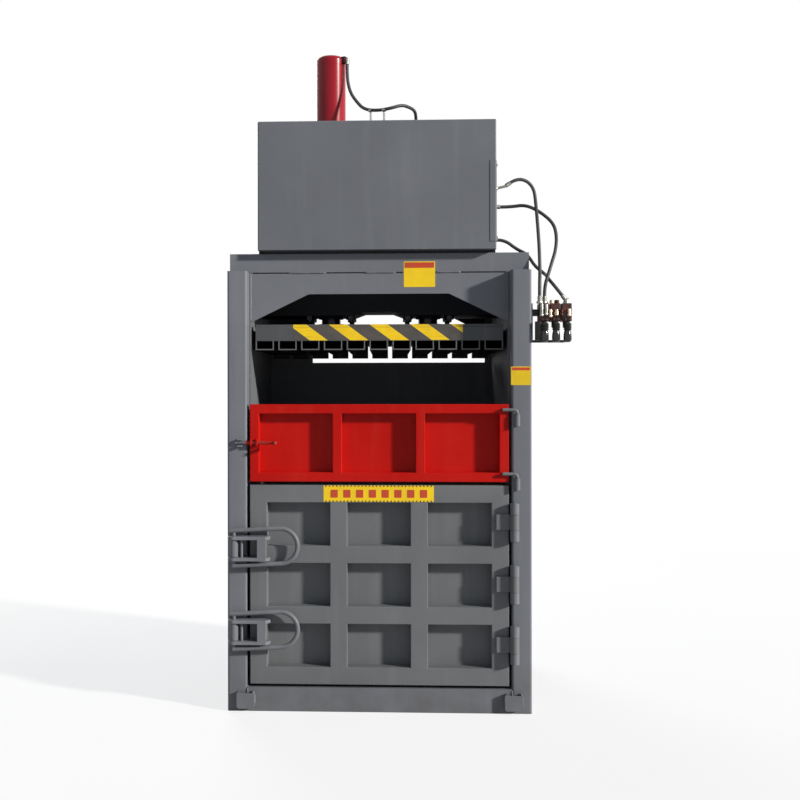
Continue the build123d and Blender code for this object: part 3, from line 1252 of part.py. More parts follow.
# All sub-parts by name

def build_parts():
    parts = {
        "base_frame": base_frame(),
        "floor_plate": floor_plate(),
        "floor_bars": floor_bars(),
        "front_column_left": column(-1, FRONT, FRONT + FRONT_COLUMN_DEPTH),
        "front_column_right": column(1, FRONT, FRONT + FRONT_COLUMN_DEPTH),
        "rear_columns": solids(column(-1, REAR - REAR_COLUMN_DEPTH, REAR),
                               column(1, REAR - REAR_COLUMN_DEPTH, REAR)),
        "side_wall_left": side_wall(-1),
        "side_wall_right": side_wall(1),
        "rear_wall": rear_wall(),
        "top_front_beam": top_front_beam(),
        "top_rear_beam": top_rear_beam(),
        "top_side_beams": top_side_beams(),
        "header_panel": header_panel(),
        "crosshead": crosshead(),
        "cylinder_head": cylinder_head(),
        "cylinder_barrel": cylinder_barrel(),
        "cylinder_cap": cylinder_cap(),
        "cylinder_port": cylinder_port(),
        "guide_sleeve": guide_sleeve(),
        "flange_bolts": flange_bolts(),
        "piston_rod": piston_rod(),
        "piston": piston(),
        "guide_rod": guide_rod(),
        "platen_plate": platen_plate(),
        "platen_channels": platen_channels(),
        "platen_front_beam": fascia(-1),
        "platen_ribs": platen_ribs(),
        "rod_seats": solids(rod_seat(-RAM_OFFSET), rod_seat(RAM_OFFSET)),
        "bale_door_frame": bale_door_frame(),
        "bale_door_skin": bale_door_skin(),
        "bale_door_leaves": bale_door_leaves(),
        "bale_door_hinges": bale_door_hinges(),
        "feed_door_frame": feed_door_frame(),
        "feed_door_skin": feed_door_skin(),
        "feed_door_rods": feed_door_rods(),
        "feed_door_sleeves": feed_door_sleeves(),
        "feed_door_bolt": feed_door_bolt(),
        "bolt_guides": bolt_guides(),
        "door_keepers": door_keepers(),
        "latch_brackets": latch_brackets(),
        "lower_latch": latch_loop(LATCH_LEVELS[0]),
        "upper_latch": latch_loop(LATCH_LEVELS[1]),
        "cover_plinth": cover_plinth(),
        "cover_shell": cover_shell(),
        "service_panel": service_panel(),
        "oil_tank": oil_tank(),
        "pump_motor": pump_motor(),
        "hydraulic_pump": hydraulic_pump(),
        "bulkhead_unions": bulkhead_unions(),
        "hose_clips": hose_clips(),
        "hose_cylinder": hose(CYLINDER_HOSE_ROUTE),
        "hose_upper": hose(UPPER_HOSE_ROUTE),
        "hose_middle": hose(MIDDLE_HOSE_ROUTE),
        "hose_lower": hose(LOWER_HOSE_ROUTE),
        "valve_body": valve_body(),
        "valve_fittings": valve_fittings(),
        "valve_bracket": valve_bracket(),
    }
    for index in range(VALVE_SECTIONS):
        parts[f"valve_lever_{index + 1}"] = valve_lever(index)
    return parts


def main():
    os.makedirs("parts", exist_ok=True)
    for name, part in build_parts().items():
        export_step(part, f"parts/{name}.step")
    routes = (("cylinder", CYLINDER_HOSE_ROUTE), ("upper", UPPER_HOSE_ROUTE),
              ("middle", MIDDLE_HOSE_ROUTE), ("lower", LOWER_HOSE_ROUTE))
    for name, route in routes:
        print(name, "hose radii", [round(radius) for radius in hose_radii(route)])


main()
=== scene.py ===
"""Looks of the recycling baler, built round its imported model. Metres, +Z up, front at -Y."""

import math
import random

import bmesh
import bpy
from mathutils import Matrix, Vector


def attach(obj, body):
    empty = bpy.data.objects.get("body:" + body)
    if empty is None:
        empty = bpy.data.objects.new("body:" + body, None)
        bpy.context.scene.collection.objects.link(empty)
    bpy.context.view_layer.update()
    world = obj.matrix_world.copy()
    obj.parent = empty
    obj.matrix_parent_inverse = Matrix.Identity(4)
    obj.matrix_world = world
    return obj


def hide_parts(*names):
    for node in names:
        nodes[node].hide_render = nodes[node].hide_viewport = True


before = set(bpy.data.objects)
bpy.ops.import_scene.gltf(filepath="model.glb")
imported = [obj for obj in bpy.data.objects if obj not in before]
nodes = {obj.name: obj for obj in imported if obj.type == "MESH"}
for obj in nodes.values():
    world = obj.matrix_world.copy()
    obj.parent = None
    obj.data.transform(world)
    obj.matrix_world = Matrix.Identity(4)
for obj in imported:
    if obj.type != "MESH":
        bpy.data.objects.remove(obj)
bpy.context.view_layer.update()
random.seed(7)

# Places that the solids give, in metres
DOOR_FACE = -0.480
BEAM_FACE = -0.390
BEAM_BOTTOM = 1.889
BEAM_TOP = 1.972
WALL_INNER = 0.559
COLUMN_INNER = 0.565
COLUMN_OUTER = 0.650
COVER_TOP = 2.540
CYLINDER_X = -0.227
LATCH_LEVELS = (0.348, 0.703)
LATCH_PIVOT = (-0.6175, -0.513)
HINGE_LEVELS = (0.295, 0.552, 0.816)


# Materials

def srgb(red, green, blue):
    """A colour from its 0 to 255 values, made linear."""
    linear = []
    for value in (red, green, blue):
        share = value / 255
        linear.append(share / 12.92 if share <= 0.04045 else ((share + 0.055) / 1.055) ** 2.4)
    return (*linear, 1.0)


def node(tree, kind, inputs=None, **settings):
    """A shader node whose inputs are given as values or as other nodes' outputs."""
    made = tree.nodes.new("ShaderNode" + kind)
    for key, value in settings.items():
        setattr(made, key, value)
    for key, value in (inputs or {}).items():
        if isinstance(value, bpy.types.NodeSocket):
            tree.links.new(value, made.inputs[key])
        else:
            made.inputs[key].default_value = value
    return made


def blank(name):
    """An empty material with its surface shader and the piece's own coordinates."""
    finish = bpy.data.materials.new(name)
    finish.use_nodes = True
    tree = finish.node_tree
    tree.nodes.clear()
    shader = node(tree, "BsdfPrincipled")
    output = node(tree, "OutputMaterial")
    tree.links.new(shader.outputs[0], output.inputs[0])
    place = node(tree, "TexCoord").outputs["Object"]
    return finish, tree, shader, place


def stretched(tree, place, scale):
    """Coordinates scaled by axis, so that a pattern on them is drawn out."""
    return node(tree, "Mapping", {"Vector": place, "Scale": scale}).outputs[0]


def noise(tree, place, scale, detail=3.0, roughness=0.55):
    inputs = {"Vector": place, "Scale": scale, "Detail": detail, "Roughness": roughness}
    return node(tree, "TexNoise", inputs).outputs["Fac"]


def math_node(tree, operation, first, second=0.0, clamp=False):
    made = node(tree, "Math", {0: first, 1: second}, operation=operation, use_clamp=clamp)
    return made.outputs[0]


def ramp(tree, value, low, high, out_low=0.0, out_high=1.0):
    inputs = {"Value": value, "From Min": low, "From Max": high, "To Min": out_low, "To Max": out_high}
    return node(tree, "MapRange", inputs).outputs[0]


def mixed(tree, share, first, second, blend_type="MIX"):
    made = node(tree, "Mix", data_type="RGBA", blend_type=blend_type)
    for socket, value in ((made.inputs[0], share), (made.inputs[6], first), (made.inputs[7], second)):
        if isinstance(value, bpy.types.NodeSocket):
            tree.links.new(value, socket)
        else:
            socket.default_value = value
    return made.outputs[2]


def soft_edges(tree, radius):
    """Rounded shading normals, and how sharply the surface turns at each point."""
    rounded = node(tree, "Bevel", {"Radius": radius}, samples=4).outputs[0]
    flat = node(tree, "NewGeometry").outputs["Normal"]
    turn = node(tree, "VectorMath", {0: rounded, 1: flat}, operation="DOT_PRODUCT").outputs["Value"]
    return rounded, math_node(tree, "SUBTRACT", 1.0, turn, clamp=True)


def bumped(tree, height, strength, distance, normal=None):
    inputs = {"Height": height, "Strength": strength, "Distance": distance}
    if normal is not None:
        inputs["Normal"] = normal
    return node(tree, "Bump", inputs).outputs[0]


def within(tree, place, axis, limit):
    """One where a coordinate's size stays under a limit, else nought."""
    part = node(tree, "SeparateXYZ", {0: place}).outputs[axis]
    return math_node(tree, "LESS_THAN", math_node(tree, "ABSOLUTE", part), limit)


# Floor dirt and how high it reaches, and two near-black tones painted in as the shade inside the chamber
DIRT = srgb(88, 85, 80)
DIRT_HEIGHT = 0.42
CHAMBER_PAINTED_SHADE = (srgb(44, 44, 47), srgb(62, 62, 64))


def enamel(name, colour, roughness=0.42, wear=0.5, worn=srgb(140, 142, 145), dirt=0.0, peel=0.12,
           variation=0.05, coat=0.0, specular=0.22, inside=None, inside_paint_and_shade=CHAMBER_PAINTED_SHADE):
    """Sprayed machine enamel: orange peel, faint runs of dust, and thin worn edges.

    inside names an axis and a limit within which the surface takes other colours instead: a second paint
    colour on some parts, painted shade on others."""
    finish, tree, shader, place = blank(name)
    rounded, edge = soft_edges(tree, 0.0018)
    broad = noise(tree, place, 2.1, 4)
    runs = noise(tree, stretched(tree, place, (16, 16, 1.1)), 1.0, 4)
    grain = noise(tree, place, 420, 2)
    dark = tuple(channel * (1 - 2 * variation) for channel in colour[:3]) + (1.0,)
    light = tuple(min(1.0, channel * (1 + variation) + 0.006) for channel in colour[:3]) + (1.0,)
    base = mixed(tree, ramp(tree, broad, 0.3, 0.7), dark, light)
    base = mixed(tree, ramp(tree, runs, 0.52, 0.78, 0.0, 0.22), base, worn)
    chipped = math_node(tree, "MULTIPLY", ramp(tree, edge, 0.03, 0.22),
                        ramp(tree, noise(tree, place, 38, 5), 0.42, 0.62))
    base = mixed(tree, math_node(tree, "MULTIPLY", chipped, wear), base, worn)
    if dirt > 0:
        height = node(tree, "SeparateXYZ", {0: place}).outputs[2]
        low = ramp(tree, height, DIRT_HEIGHT, 0.0)
        patch = ramp(tree, noise(tree, place, 11, 6), 0.25, 0.8)
        share = math_node(tree, "MULTIPLY", math_node(tree, "MULTIPLY", low, patch), dirt)
        base = mixed(tree, share, base, DIRT)
    sheen = ramp(tree, broad, 0.2, 0.8, roughness - 0.06, roughness + 0.08)
    # Within the limit the colours change: painted shade on the pressing channels, a second paint colour on
    # the bracket and the bolt
    if inside is not None:
        share = within(tree, place, *inside)
        patches = mixed(tree, ramp(tree, noise(tree, place, 7, 5), 0.35, 0.7), *inside_paint_and_shade)
        base = mixed(tree, share, base, patches)
        sheen = math_node(tree, "ADD", sheen, math_node(tree, "MULTIPLY", share, 0.35))
    tree.links.new(base, shader.inputs["Base Color"])
    tree.links.new(sheen, shader.inputs["Roughness"])
    tree.links.new(bumped(tree, grain, peel, 0.0008, rounded), shader.inputs["Normal"])
    shader.inputs["Specular IOR Level"].default_value = specular
    shader.inputs["Coat Weight"].default_value = coat
    shader.inputs["Coat Roughness"].default_value = 0.15
    return finish


def bare_metal(name, colour, roughness=0.32, brushed=(1, 1, 60), stain=srgb(70, 62, 56), stained=0.4):
    """Bare or plated metal with tool marks along one direction, a few stains, and pale edges that are partly
    rubbed metal and partly a painted highlight.
    """
    finish, tree, shader, place = blank(name)
    rounded, edge = soft_edges(tree, 0.0010)
    marks = noise(tree, stretched(tree, place, brushed), 9, 3)
    cloud = noise(tree, place, 23, 5)
    base = mixed(tree, ramp(tree, cloud, 0.48, 0.75, 0.0, stained), colour, stain)
    # Edges lightened towards pale grey: partly rubbed bright metal, partly a painted highlight
    base = mixed(tree, ramp(tree, edge, 0.03, 0.25, 0.0, 0.5), base, srgb(225, 222, 214))
    tree.links.new(base, shader.inputs["Base Color"])
    shader.inputs["Metallic"].default_value = 1.0
    sheen = ramp(tree, marks, 0.2, 0.8, roughness - 0.1, roughness + 0.14)
    tree.links.new(sheen, shader.inputs["Roughness"])
    tree.links.new(bumped(tree, marks, 0.12, 0.0006, rounded), shader.inputs["Normal"])
    return finish


def sand_cast(name, colour, dark):
    """A painted sand casting: coarse skin, oil in the hollows, rubbed corners."""
    finish, tree, shader, place = blank(name)
    rounded, edge = soft_edges(tree, 0.002)
    cloud = noise(tree, place, 34, 6)
    grain = noise(tree, place, 640, 3)
    base = mixed(tree, ramp(tree, cloud, 0.38, 0.62), dark, colour)
    base = mixed(tree, ramp(tree, edge, 0.03, 0.2, 0.0, 0.7), base, srgb(170, 140, 110))
    tree.links.new(base, shader.inputs["Base Color"])
    shader.inputs["Metallic"].default_value = 0.15
    tree.links.new(ramp(tree, cloud, 0.3, 0.7, 0.3, 0.6), shader.inputs["Roughness"])
    tree.links.new(bumped(tree, grain, 0.5, 0.0008, rounded), shader.inputs["Normal"])
    return finish


def hose_skin():
    """The wrapped cover of a hydraulic hose, with dusty patches."""
    finish, tree, shader, place = blank("hose_rubber")
    cloud = noise(tree, place, 26, 5)
    ribs = {"Vector": place, "Scale": 260.0, "Distortion": 2.5, "Detail": 2.0}
    wrap = node(tree, "TexWave", ribs).outputs["Fac"]
    base = mixed(tree, ramp(tree, cloud, 0.3, 0.7), srgb(26, 26, 27), srgb(52, 52, 54))
    tree.links.new(base, shader.inputs["Base Color"])
    tree.links.new(ramp(tree, cloud, 0.3, 0.7, 0.42, 0.62), shader.inputs["Roughness"])
    tree.links.new(bumped(tree, wrap, 0.25, 0.0005), shader.inputs["Normal"])
    return finish


def moulded_plastic():
    """The glossy black plastic of the lever knobs, with fingerprints."""
    finish, tree, shader, place = blank("knob_plastic")
    smear = noise(tree, place, 60, 4)
    base = mixed(tree, ramp(tree, smear, 0.4, 0.7), srgb(14, 14, 16), srgb(30, 30, 33))
    tree.links.new(base, shader.inputs["Base Color"])
    tree.links.new(ramp(tree, smear, 0.3, 0.75, 0.10, 0.28), shader.inputs["Roughness"])
    tree.links.new(bumped(tree, noise(tree, place, 900, 2), 0.05, 0.0004), shader.inputs["Normal"])
    return finish


def printed_film(name, colour, faded):
    """Sticky film: a flat printed colour with sun fading, dust and a slight ripple."""
    finish, tree, shader, place = blank(name)
    cloud = noise(tree, place, 13, 5)
    specks = noise(tree, place, 190, 3)
    base = mixed(tree, ramp(tree, cloud, 0.35, 0.75), colour, faded)
    base = mixed(tree, ramp(tree, specks, 0.66, 0.78, 0.0, 0.5), base, srgb(96, 90, 80))
    tree.links.new(base, shader.inputs["Base Color"])
    shader.inputs["Roughness"].default_value = 0.38
    tree.links.new(bumped(tree, cloud, 0.15, 0.002), shader.inputs["Normal"])
    return finish


# The bands repeat along X, lean by the slant, and are yellow for this share of each period
STRIPE_PERIOD = 0.1775
STRIPE_LEFT = -0.2200
STRIPE_TOP = 1.665
STRIPE_SLANT = 1.35
STRIPE_SHARE = 0.445


def stripe_tape():
    """Yellow and dark bands that slant down to the right, rubbed along the edges."""
    finish, tree, shader, place = blank("stripe_tape")
    parts = node(tree, "SeparateXYZ", {0: place})
    drop = math_node(tree, "SUBTRACT", STRIPE_TOP, parts.outputs[2])
    across = math_node(tree, "SUBTRACT", parts.outputs[0], STRIPE_LEFT)
    across = math_node(tree, "SUBTRACT", across, math_node(tree, "MULTIPLY", drop, STRIPE_SLANT))
    turn = math_node(tree, "FRACT", math_node(tree, "DIVIDE", across, STRIPE_PERIOD))
    yellow = math_node(tree, "LESS_THAN", turn, STRIPE_SHARE)
    cloud = noise(tree, place, 17, 6)
    bright = mixed(tree, ramp(tree, cloud, 0.35, 0.75), srgb(248, 208, 8), srgb(228, 186, 20))
    dull = mixed(tree, ramp(tree, cloud, 0.35, 0.75), srgb(62, 58, 56), srgb(80, 74, 68))
    base = mixed(tree, yellow, dull, bright)
    scuffs = noise(tree, stretched(tree, place, (4, 60, 90)), 2.2, 5)
    base = mixed(tree, ramp(tree, scuffs, 0.62, 0.72, 0.0, 0.5), base, srgb(108, 100, 88))
    tree.links.new(base, shader.inputs["Base Color"])
    tree.links.new(ramp(tree, cloud, 0.3, 0.8, 0.34, 0.6), shader.inputs["Roughness"])
    tree.links.new(bumped(tree, scuffs, 0.12, 0.001), shader.inputs["Normal"])
    return finish


GREY = enamel("grey_enamel", srgb(112, 115, 121), dirt=0.70)
GREY_DOOR = enamel("door_enamel", srgb(107, 109, 111), roughness=0.46, dirt=0.30, worn=srgb(138, 139, 139))
COVER_GREY = enamel("cover_enamel", srgb(105, 108, 114), roughness=0.38, wear=0.3, peel=0.08)
WALL_GREY = enamel("chamber_enamel", srgb(100, 103, 106), roughness=0.5, dirt=0.3, specular=0.15)
# Oily black paint; on the parts inside the chamber and on the plinth under the cover its dark tone is also
# painted shade
BLACKENED = enamel("oily_black_and_painted_shade", srgb(50, 52, 56), roughness=0.62, wear=0.2, worn=srgb(58, 56, 54),
                   specular=0.12)
BRACKET = enamel("bracket_black", srgb(20, 20, 23), roughness=0.42, wear=0.5, worn=srgb(84, 82, 80),
                 inside=(0, 0.6565), inside_paint_and_shade=(srgb(98, 101, 106), srgb(108, 111, 116)))
FASCIA = enamel("fascia_enamel", srgb(76, 79, 81), roughness=0.46, wear=0.7, worn=srgb(128, 130, 130))
# The channels are painted near black between their ends, painted shade deep under the platen
PRESSING = enamel("pressing_enamel", srgb(100, 104, 104), roughness=0.6, wear=0.6, worn=srgb(132, 134, 132),
                  specular=0.15, inside=(1, 0.3744), inside_paint_and_shade=(srgb(15, 15, 17), srgb(30, 30, 31)))
DOOR_RED = enamel("door_red_enamel", srgb(186, 14, 5), roughness=0.38, wear=0.35, worn=srgb(196, 66, 44),
                  variation=0.07, specular=0.12)
CRIMSON = enamel("crimson_enamel", srgb(144, 4, 26), roughness=0.30, wear=0.15, worn=srgb(176, 80, 86),
                 variation=0.06, coat=0.2, specular=0.12)
MAROON = enamel("maroon_enamel", srgb(58, 12, 16), roughness=0.42, wear=0.4, worn=srgb(112, 70, 66))
MOTOR = enamel("motor_enamel", srgb(58, 82, 106), roughness=0.44, wear=0.4)
LOOP_PAINT = enamel("loop_enamel", srgb(106, 108, 112), roughness=0.4, wear=0.9, worn=srgb(156, 156, 152))
RED_BOLT = enamel("bolt_enamel", srgb(96, 99, 106), roughness=0.4, wear=0.9, worn=srgb(126, 112, 108),
                  inside=(0, 0.5705), inside_paint_and_shade=(srgb(158, 30, 22), srgb(150, 66, 58)))
# The rods' chrome is given a dark colour, a painted reflection of the dark chamber around them
DARKENED_CHROME = bare_metal("chrome_painted_dark", srgb(38, 38, 42), 0.24, (30, 30, 260), srgb(20, 18, 18), 0.5)
BARE = bare_metal("turned_steel", srgb(150, 148, 144), 0.34, (4, 4, 90))
WORN_FLOOR = bare_metal("floor_steel", srgb(92, 90, 88), 0.46, (60, 3, 60), srgb(62, 50, 42), 0.7)
DARK_STEEL = bare_metal("dark_steel", srgb(52, 52, 56), 0.42, (20, 20, 20), srgb(30, 28, 28), 0.6)
CLIP_ZINC = bare_metal("clip_zinc", srgb(176, 176, 178), 0.36, (30, 30, 30), srgb(126, 122, 116), 0.5)
ZINC = bare_metal("zinc_plate", srgb(144, 145, 138), 0.36, (30, 30, 30), srgb(92, 90, 84), 0.6)
NICKEL = bare_metal("nickel_cap", srgb(186, 168, 146), 0.30, (20, 20, 80), srgb(112, 76, 58), 0.6)
BROWN_CAP = bare_metal("browned_cap", srgb(56, 34, 28), 0.40, (20, 20, 80), srgb(28, 18, 16), 0.7)
CASTING = sand_cast("valve_casting", srgb(84, 34, 30), srgb(30, 14, 16))
HOSE = hose_skin()
KNOB = moulded_plastic()
RUBBER = enamel("gaiter_rubber", srgb(20, 20, 21), roughness=0.5, wear=0.1, worn=srgb(60, 58, 56),
                specular=0.35)
# Near-black strips that stand for the shade under the cover's sides
SHADE_STRIP = enamel("shade_strip_black", srgb(16, 16, 17), roughness=0.7, wear=0.1, worn=srgb(44, 43, 42))
TAPE = stripe_tape()
YELLOW = printed_film("yellow_film", srgb(246, 208, 6), srgb(232, 192, 22))
AGED_YELLOW = printed_film("aged_yellow_film", srgb(228, 192, 8), srgb(212, 176, 22))
RED_FILM = printed_film("red_film", srgb(196, 62, 26), srgb(176, 70, 40))
DARK_FILM = printed_film("dark_film", srgb(86, 48, 22), srgb(104, 70, 36))

# Every node that isn't named here has the grey enamel
NODE_FINISHES = {
    BLACKENED: ("floor_plate", "crosshead", "platen_plate", "platen_ribs", "rod_seats", "guide_sleeve",
                "cylinder_head", "cover_plinth"),
    WALL_GREY: ("side_wall_left", "side_wall_right", "rear_wall"),
    FASCIA: ("platen_front_beam",),
    PRESSING: ("platen_channels",),
    GREY_DOOR: ("bale_door_frame", "bale_door_skin", "bale_door_leaves"),
    COVER_GREY: ("cover_shell", "service_panel"),
    DOOR_RED: ("feed_door_frame", "feed_door_skin", "bolt_guides"),
    CRIMSON: ("cylinder_barrel", "cylinder_cap"),
    DARKENED_CHROME: ("piston_rod", "guide_rod"),
    BARE: ("piston",),
    WORN_FLOOR: ("floor_bars",),
    DARK_STEEL: ("flange_bolts",),
    CLIP_ZINC: ("hose_clips",),
    BRACKET: ("valve_bracket",),
    CASTING: ("valve_body",),
    MOTOR: ("pump_motor", "hydraulic_pump", "oil_tank"),
    LOOP_PAINT: ("upper_latch", "lower_latch", "feed_door_rods"),
    RED_BOLT: ("feed_door_bolt",),
}
finish_of = {name: finish for finish, names in NODE_FINISHES.items() for name in names}
for name, made in nodes.items():
    made.data.materials.clear()
    made.data.materials.append(finish_of.get(name, GREY))
    made.data.shade_smooth()
    weld = made.modifiers.new("weld", "WELD")
    weld.merge_threshold = 0.00001
    split = made.modifiers.new("creases", "EDGE_SPLIT")
    split.split_angle = math.radians(32)


# Shapes

def bevelled(shape, edges, width, segments=2):
    """Rounds some edges of a shape."""
    bmesh.ops.bevel(shape, geom=edges, offset=width, offset_type="OFFSET", segments=segments,
                    profile=0.5, affect="EDGES", material=-1)


def slab(low, high, rounding=0.0):
    """A block between two corners, its edges rounded."""
    shape = bmesh.new()
    bmesh.ops.create_cube(shape, size=1.0)
    low, high = Vector(low), Vector(high)
    bmesh.ops.scale(shape, vec=high - low, verts=shape.verts)
    bmesh.ops.translate(shape, vec=(low + high) / 2, verts=shape.verts)
    if rounding > 0:
        bevelled(shape, shape.edges[:], rounding)
    return shape


def turned(profile, steps=28):
    """A shape turned about Z from (radius, height) points."""
    shape = bmesh.new()
    ring = [shape.verts.new((radius, 0, height)) for radius, height in profile]
    for first, second in zip(ring, ring[1:]):
        shape.edges.new((first, second))
    bmesh.ops.spin(shape, geom=shape.verts[:] + shape.edges[:], cent=(0, 0, 0), axis=(0, 0, 1),
                   angle=math.tau, steps=steps, use_merge=True)
    bmesh.ops.remove_doubles(shape, verts=shape.verts, dist=0.000001)
    return shape


def hex_nut(flats, height, bevel=0.0012):
    """A hexagon nut standing on z = 0 with chamfered corners."""
    shape = bmesh.new()
    radius = flats / math.sqrt(3)
    bmesh.ops.create_cone(shape, cap_ends=True, segments=6, radius1=radius, radius2=radius, depth=height)
    bmesh.ops.translate(shape, vec=(0, 0, height / 2), verts=shape.verts)
    bevelled(shape, shape.edges[:], bevel)
    return shape


def bead(start, end, radius=0.0045, pitch=0.0055):
    """A hand-laid weld bead: a thin round bar with overlapping ripples and tapered ends."""
    start, end = Vector(start), Vector(end)
    length = (end - start).length
    shape = bmesh.new()
    bmesh.ops.create_cone(shape, cap_ends=True, segments=8, radius1=radius, radius2=radius, depth=length)
    long_edges = [edge for edge in shape.edges if abs(edge.verts[0].co.z - edge.verts[1].co.z) > length / 2]
    cuts = max(2, int(length / pitch * 3))
    bmesh.ops.subdivide_edges(shape, edges=long_edges, cuts=cuts, use_grid_fill=True)
    phase = random.random() * math.tau
    for vert in shape.verts:
        along = vert.co.z / pitch
        swell = 1 + 0.13 * math.sin(along * math.tau + phase) + 0.12 * math.sin(along * 0.41 + phase)
        taper = min(1.0, 0.35 + (length / 2 - abs(vert.co.z)) / (2 * radius))
        vert.co.x *= swell * taper
        vert.co.y *= swell * taper
    turn = (end - start).to_track_quat("Z", "Y").to_matrix().to_4x4()
    shape.transform(Matrix.Translation((start + end) / 2) @ turn)
    return shape


def aimed(point, direction):
    """A place whose own Z points along a direction."""
    return Matrix.Translation(point) @ Vector(direction).to_track_quat("Z", "Y").to_matrix().to_4x4()


def joined(shapes):
    """One mesh of several shapes, given alone or with their places."""
    whole = bmesh.new()
    for entry in shapes:
        shape, place = entry if isinstance(entry, tuple) else (entry, Matrix.Identity(4))
        shape.transform(place)
        scrap = bpy.data.meshes.new("scrap")
        shape.to_mesh(scrap)
        shape.free()
        whole.from_mesh(scrap)
        bpy.data.meshes.remove(scrap)
    return whole


def piece(name, shape, body, finish, crease=32):
    """Turns a shape into a named piece that rides on a body."""
    bmesh.ops.recalc_face_normals(shape, faces=shape.faces)
    mesh = bpy.data.meshes.new(name)
    shape.to_mesh(mesh)
    shape.free()
    mesh.shade_smooth()
    mesh.set_sharp_from_angle(angle=math.radians(crease))
    mesh.materials.append(finish)
    made = bpy.data.objects.new(name, mesh)
    bpy.context.scene.collection.objects.link(made)
    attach(made, body)
    return made


# Hoses

# Each hose's real length, how it lies, and its route from its exit
SIDE_FACE = 0.540
UNION_TOP = 1.777
HOSES = {
    "cylinder": (0.695, "hanging", [
        (-0.148591, -0.039951, 2.896), (-0.148591, -0.039951, 2.858), (-0.145, -0.050, 2.806),
        (-0.131, -0.076, 2.752), (-0.104, -0.107, 2.706), (-0.068, -0.142, 2.660), (-0.006, -0.182, 2.644),
        (0.054, -0.206, 2.648), (0.105, -0.184, 2.668), (0.142, -0.138, 2.667), (0.165, -0.094, 2.663),
        (0.171, -0.060, 2.644), (0.172, -0.040, 2.610), (0.172, -0.040, 2.572)]),
    "upper": (0.646, "hanging", [
        (0.579252, -0.300, 2.288806), (0.595833, -0.300, 2.299990), (0.631, -0.296, 2.306),
        (0.665, -0.288, 2.291), (0.687, -0.282, 2.258), (0.692, -0.289, 2.208),
        (0.692, -0.358, 2.092), (0.694, -0.391, 1.995), (0.692, -0.428, 1.884),
        (0.687, -0.455, 1.832), (0.687, -0.455, UNION_TOP)]),
    "middle": (0.628, "hanging", [
        (SIDE_FACE, -0.250, 2.191), (0.588, -0.250, 2.191), (0.651, -0.262, 2.198), (0.712, -0.281, 2.164),
        (0.767, -0.305, 2.111), (0.778, -0.332, 2.052), (0.769, -0.362, 1.984), (0.748, -0.393, 1.927),
        (0.730, -0.415, 1.876), (0.712, -0.422, 1.820), (0.712, -0.422, UNION_TOP)]),
    "lower": (0.545, "hanging", [
        (SIDE_FACE, -0.120, 2.061), (0.574, -0.120, 2.061), (0.628, -0.121, 2.018), (0.673, -0.141, 1.994),
        (0.700, -0.190, 1.935), (0.721, -0.256, 1.904), (0.736, -0.326, 1.875), (0.734, -0.389, 1.856),
        (0.759826, -0.418, 1.818101), (0.787530, -0.418, 1.782640)]),
}
HOSE_DIAMETER = 0.015


def hose(name, route):
    """One hose as a smooth curve through its route, with the hose's real thickness."""
    curve = bpy.data.curves.new("hose_" + name + "_line", "CURVE")
    curve.dimensions = "3D"
    spline = curve.splines.new("NURBS")
    spline.points.add(len(route) - 1)
    for point, place in zip(spline.points, route):
        point.co = (*place, 1.0)
    spline.order_u = 3
    spline.use_endpoint_u = True
    spline.resolution_u = 10
    curve.bevel_depth = HOSE_DIAMETER / 2
    curve.bevel_resolution = 5
    curve.use_fill_caps = True
    curve.materials.append(HOSE)
    made = bpy.data.objects.new("hose_" + name + "_line", curve)
    bpy.context.scene.collection.objects.link(made)
    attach(made, "frame")
    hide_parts("hose_" + name)


for name, (length, lay, route) in HOSES.items():
    hose(name, route)


# Hose fittings

def crimped_ferrule(bottom, length):
    """The pressed sleeve that grips a hose end, standing on a height."""
    top = bottom + length
    profile = [(0, bottom - 0.002), (0.0088, bottom - 0.002), (0.0088, bottom + 0.001)]
    rings = 4
    step = (length - 0.004) / rings
    for ring in range(rings):
        base = bottom + 0.0015 + ring * step
        profile += [(0.0095, base), (0.0095, base + step * 0.62), (0.0087, base + step * 0.72),
                    (0.0087, base + step * 0.9)]
    profile += [(0.0095, top - 0.0022), (0.0090, top), (0.0076, top), (0.0076, top - 0.001),
                (0, top - 0.001)]
    return turned(profile, 24)


NUT_FLATS = 0.026
NUT_HEIGHT = 0.010
FERRULE_LENGTH = 0.022
UP = (0, 0, 1)
RIGHT = (1, 0, 0)


def union(bushing=NUT_HEIGHT, ferrule=FERRULE_LENGTH):
    """A swivel nut with its crimped ferrule, standing on z = 0."""
    return [hex_nut(NUT_FLATS, bushing), crimped_ferrule(bushing, ferrule)]


def elbow_ball(radius):
    """The forged corner of an elbow fitting."""
    shape = bmesh.new()
    bmesh.ops.create_icosphere(shape, subdivisions=3, radius=radius)
    return shape


def bent_pipe(points, radius, segments=16):
    """A steel pipe along straight runs, mitred at its corners."""
    shape = bmesh.new()
    points = [Vector(point) for point in points]
    rings = []
    for index, point in enumerate(points):
        into = (point - points[index - 1]).normalized() if index else (points[1] - point).normalized()
        out = (points[index + 1] - point).normalized() if index + 1 < len(points) else into
        axis = (into + out).normalized()
        spread = 1 / max(0.5, axis.dot(into))
        turn = axis.to_track_quat("Z", "Y").to_matrix().to_4x4()
        made = bmesh.ops.create_circle(shape, cap_ends=index in (0, len(points) - 1), segments=segments,
                                       radius=radius)
        scale = Matrix.Diagonal((spread, 1, 1, 1)) if index else Matrix.Identity(4)
        bmesh.ops.transform(shape, matrix=Matrix.Translation(point) @ turn @ scale, verts=made["verts"])
        rings.append([edge for edge in shape.edges if all(vert in made["verts"] for vert in edge.verts)])
    for first, second in zip(rings, rings[1:]):
        bmesh.ops.bridge_loops(shape, edges=first + second)
    return shape


def placed(shapes, place):
    """Shapes that share one place, as joined() takes them."""
    return [(shape, place) for shape in shapes]


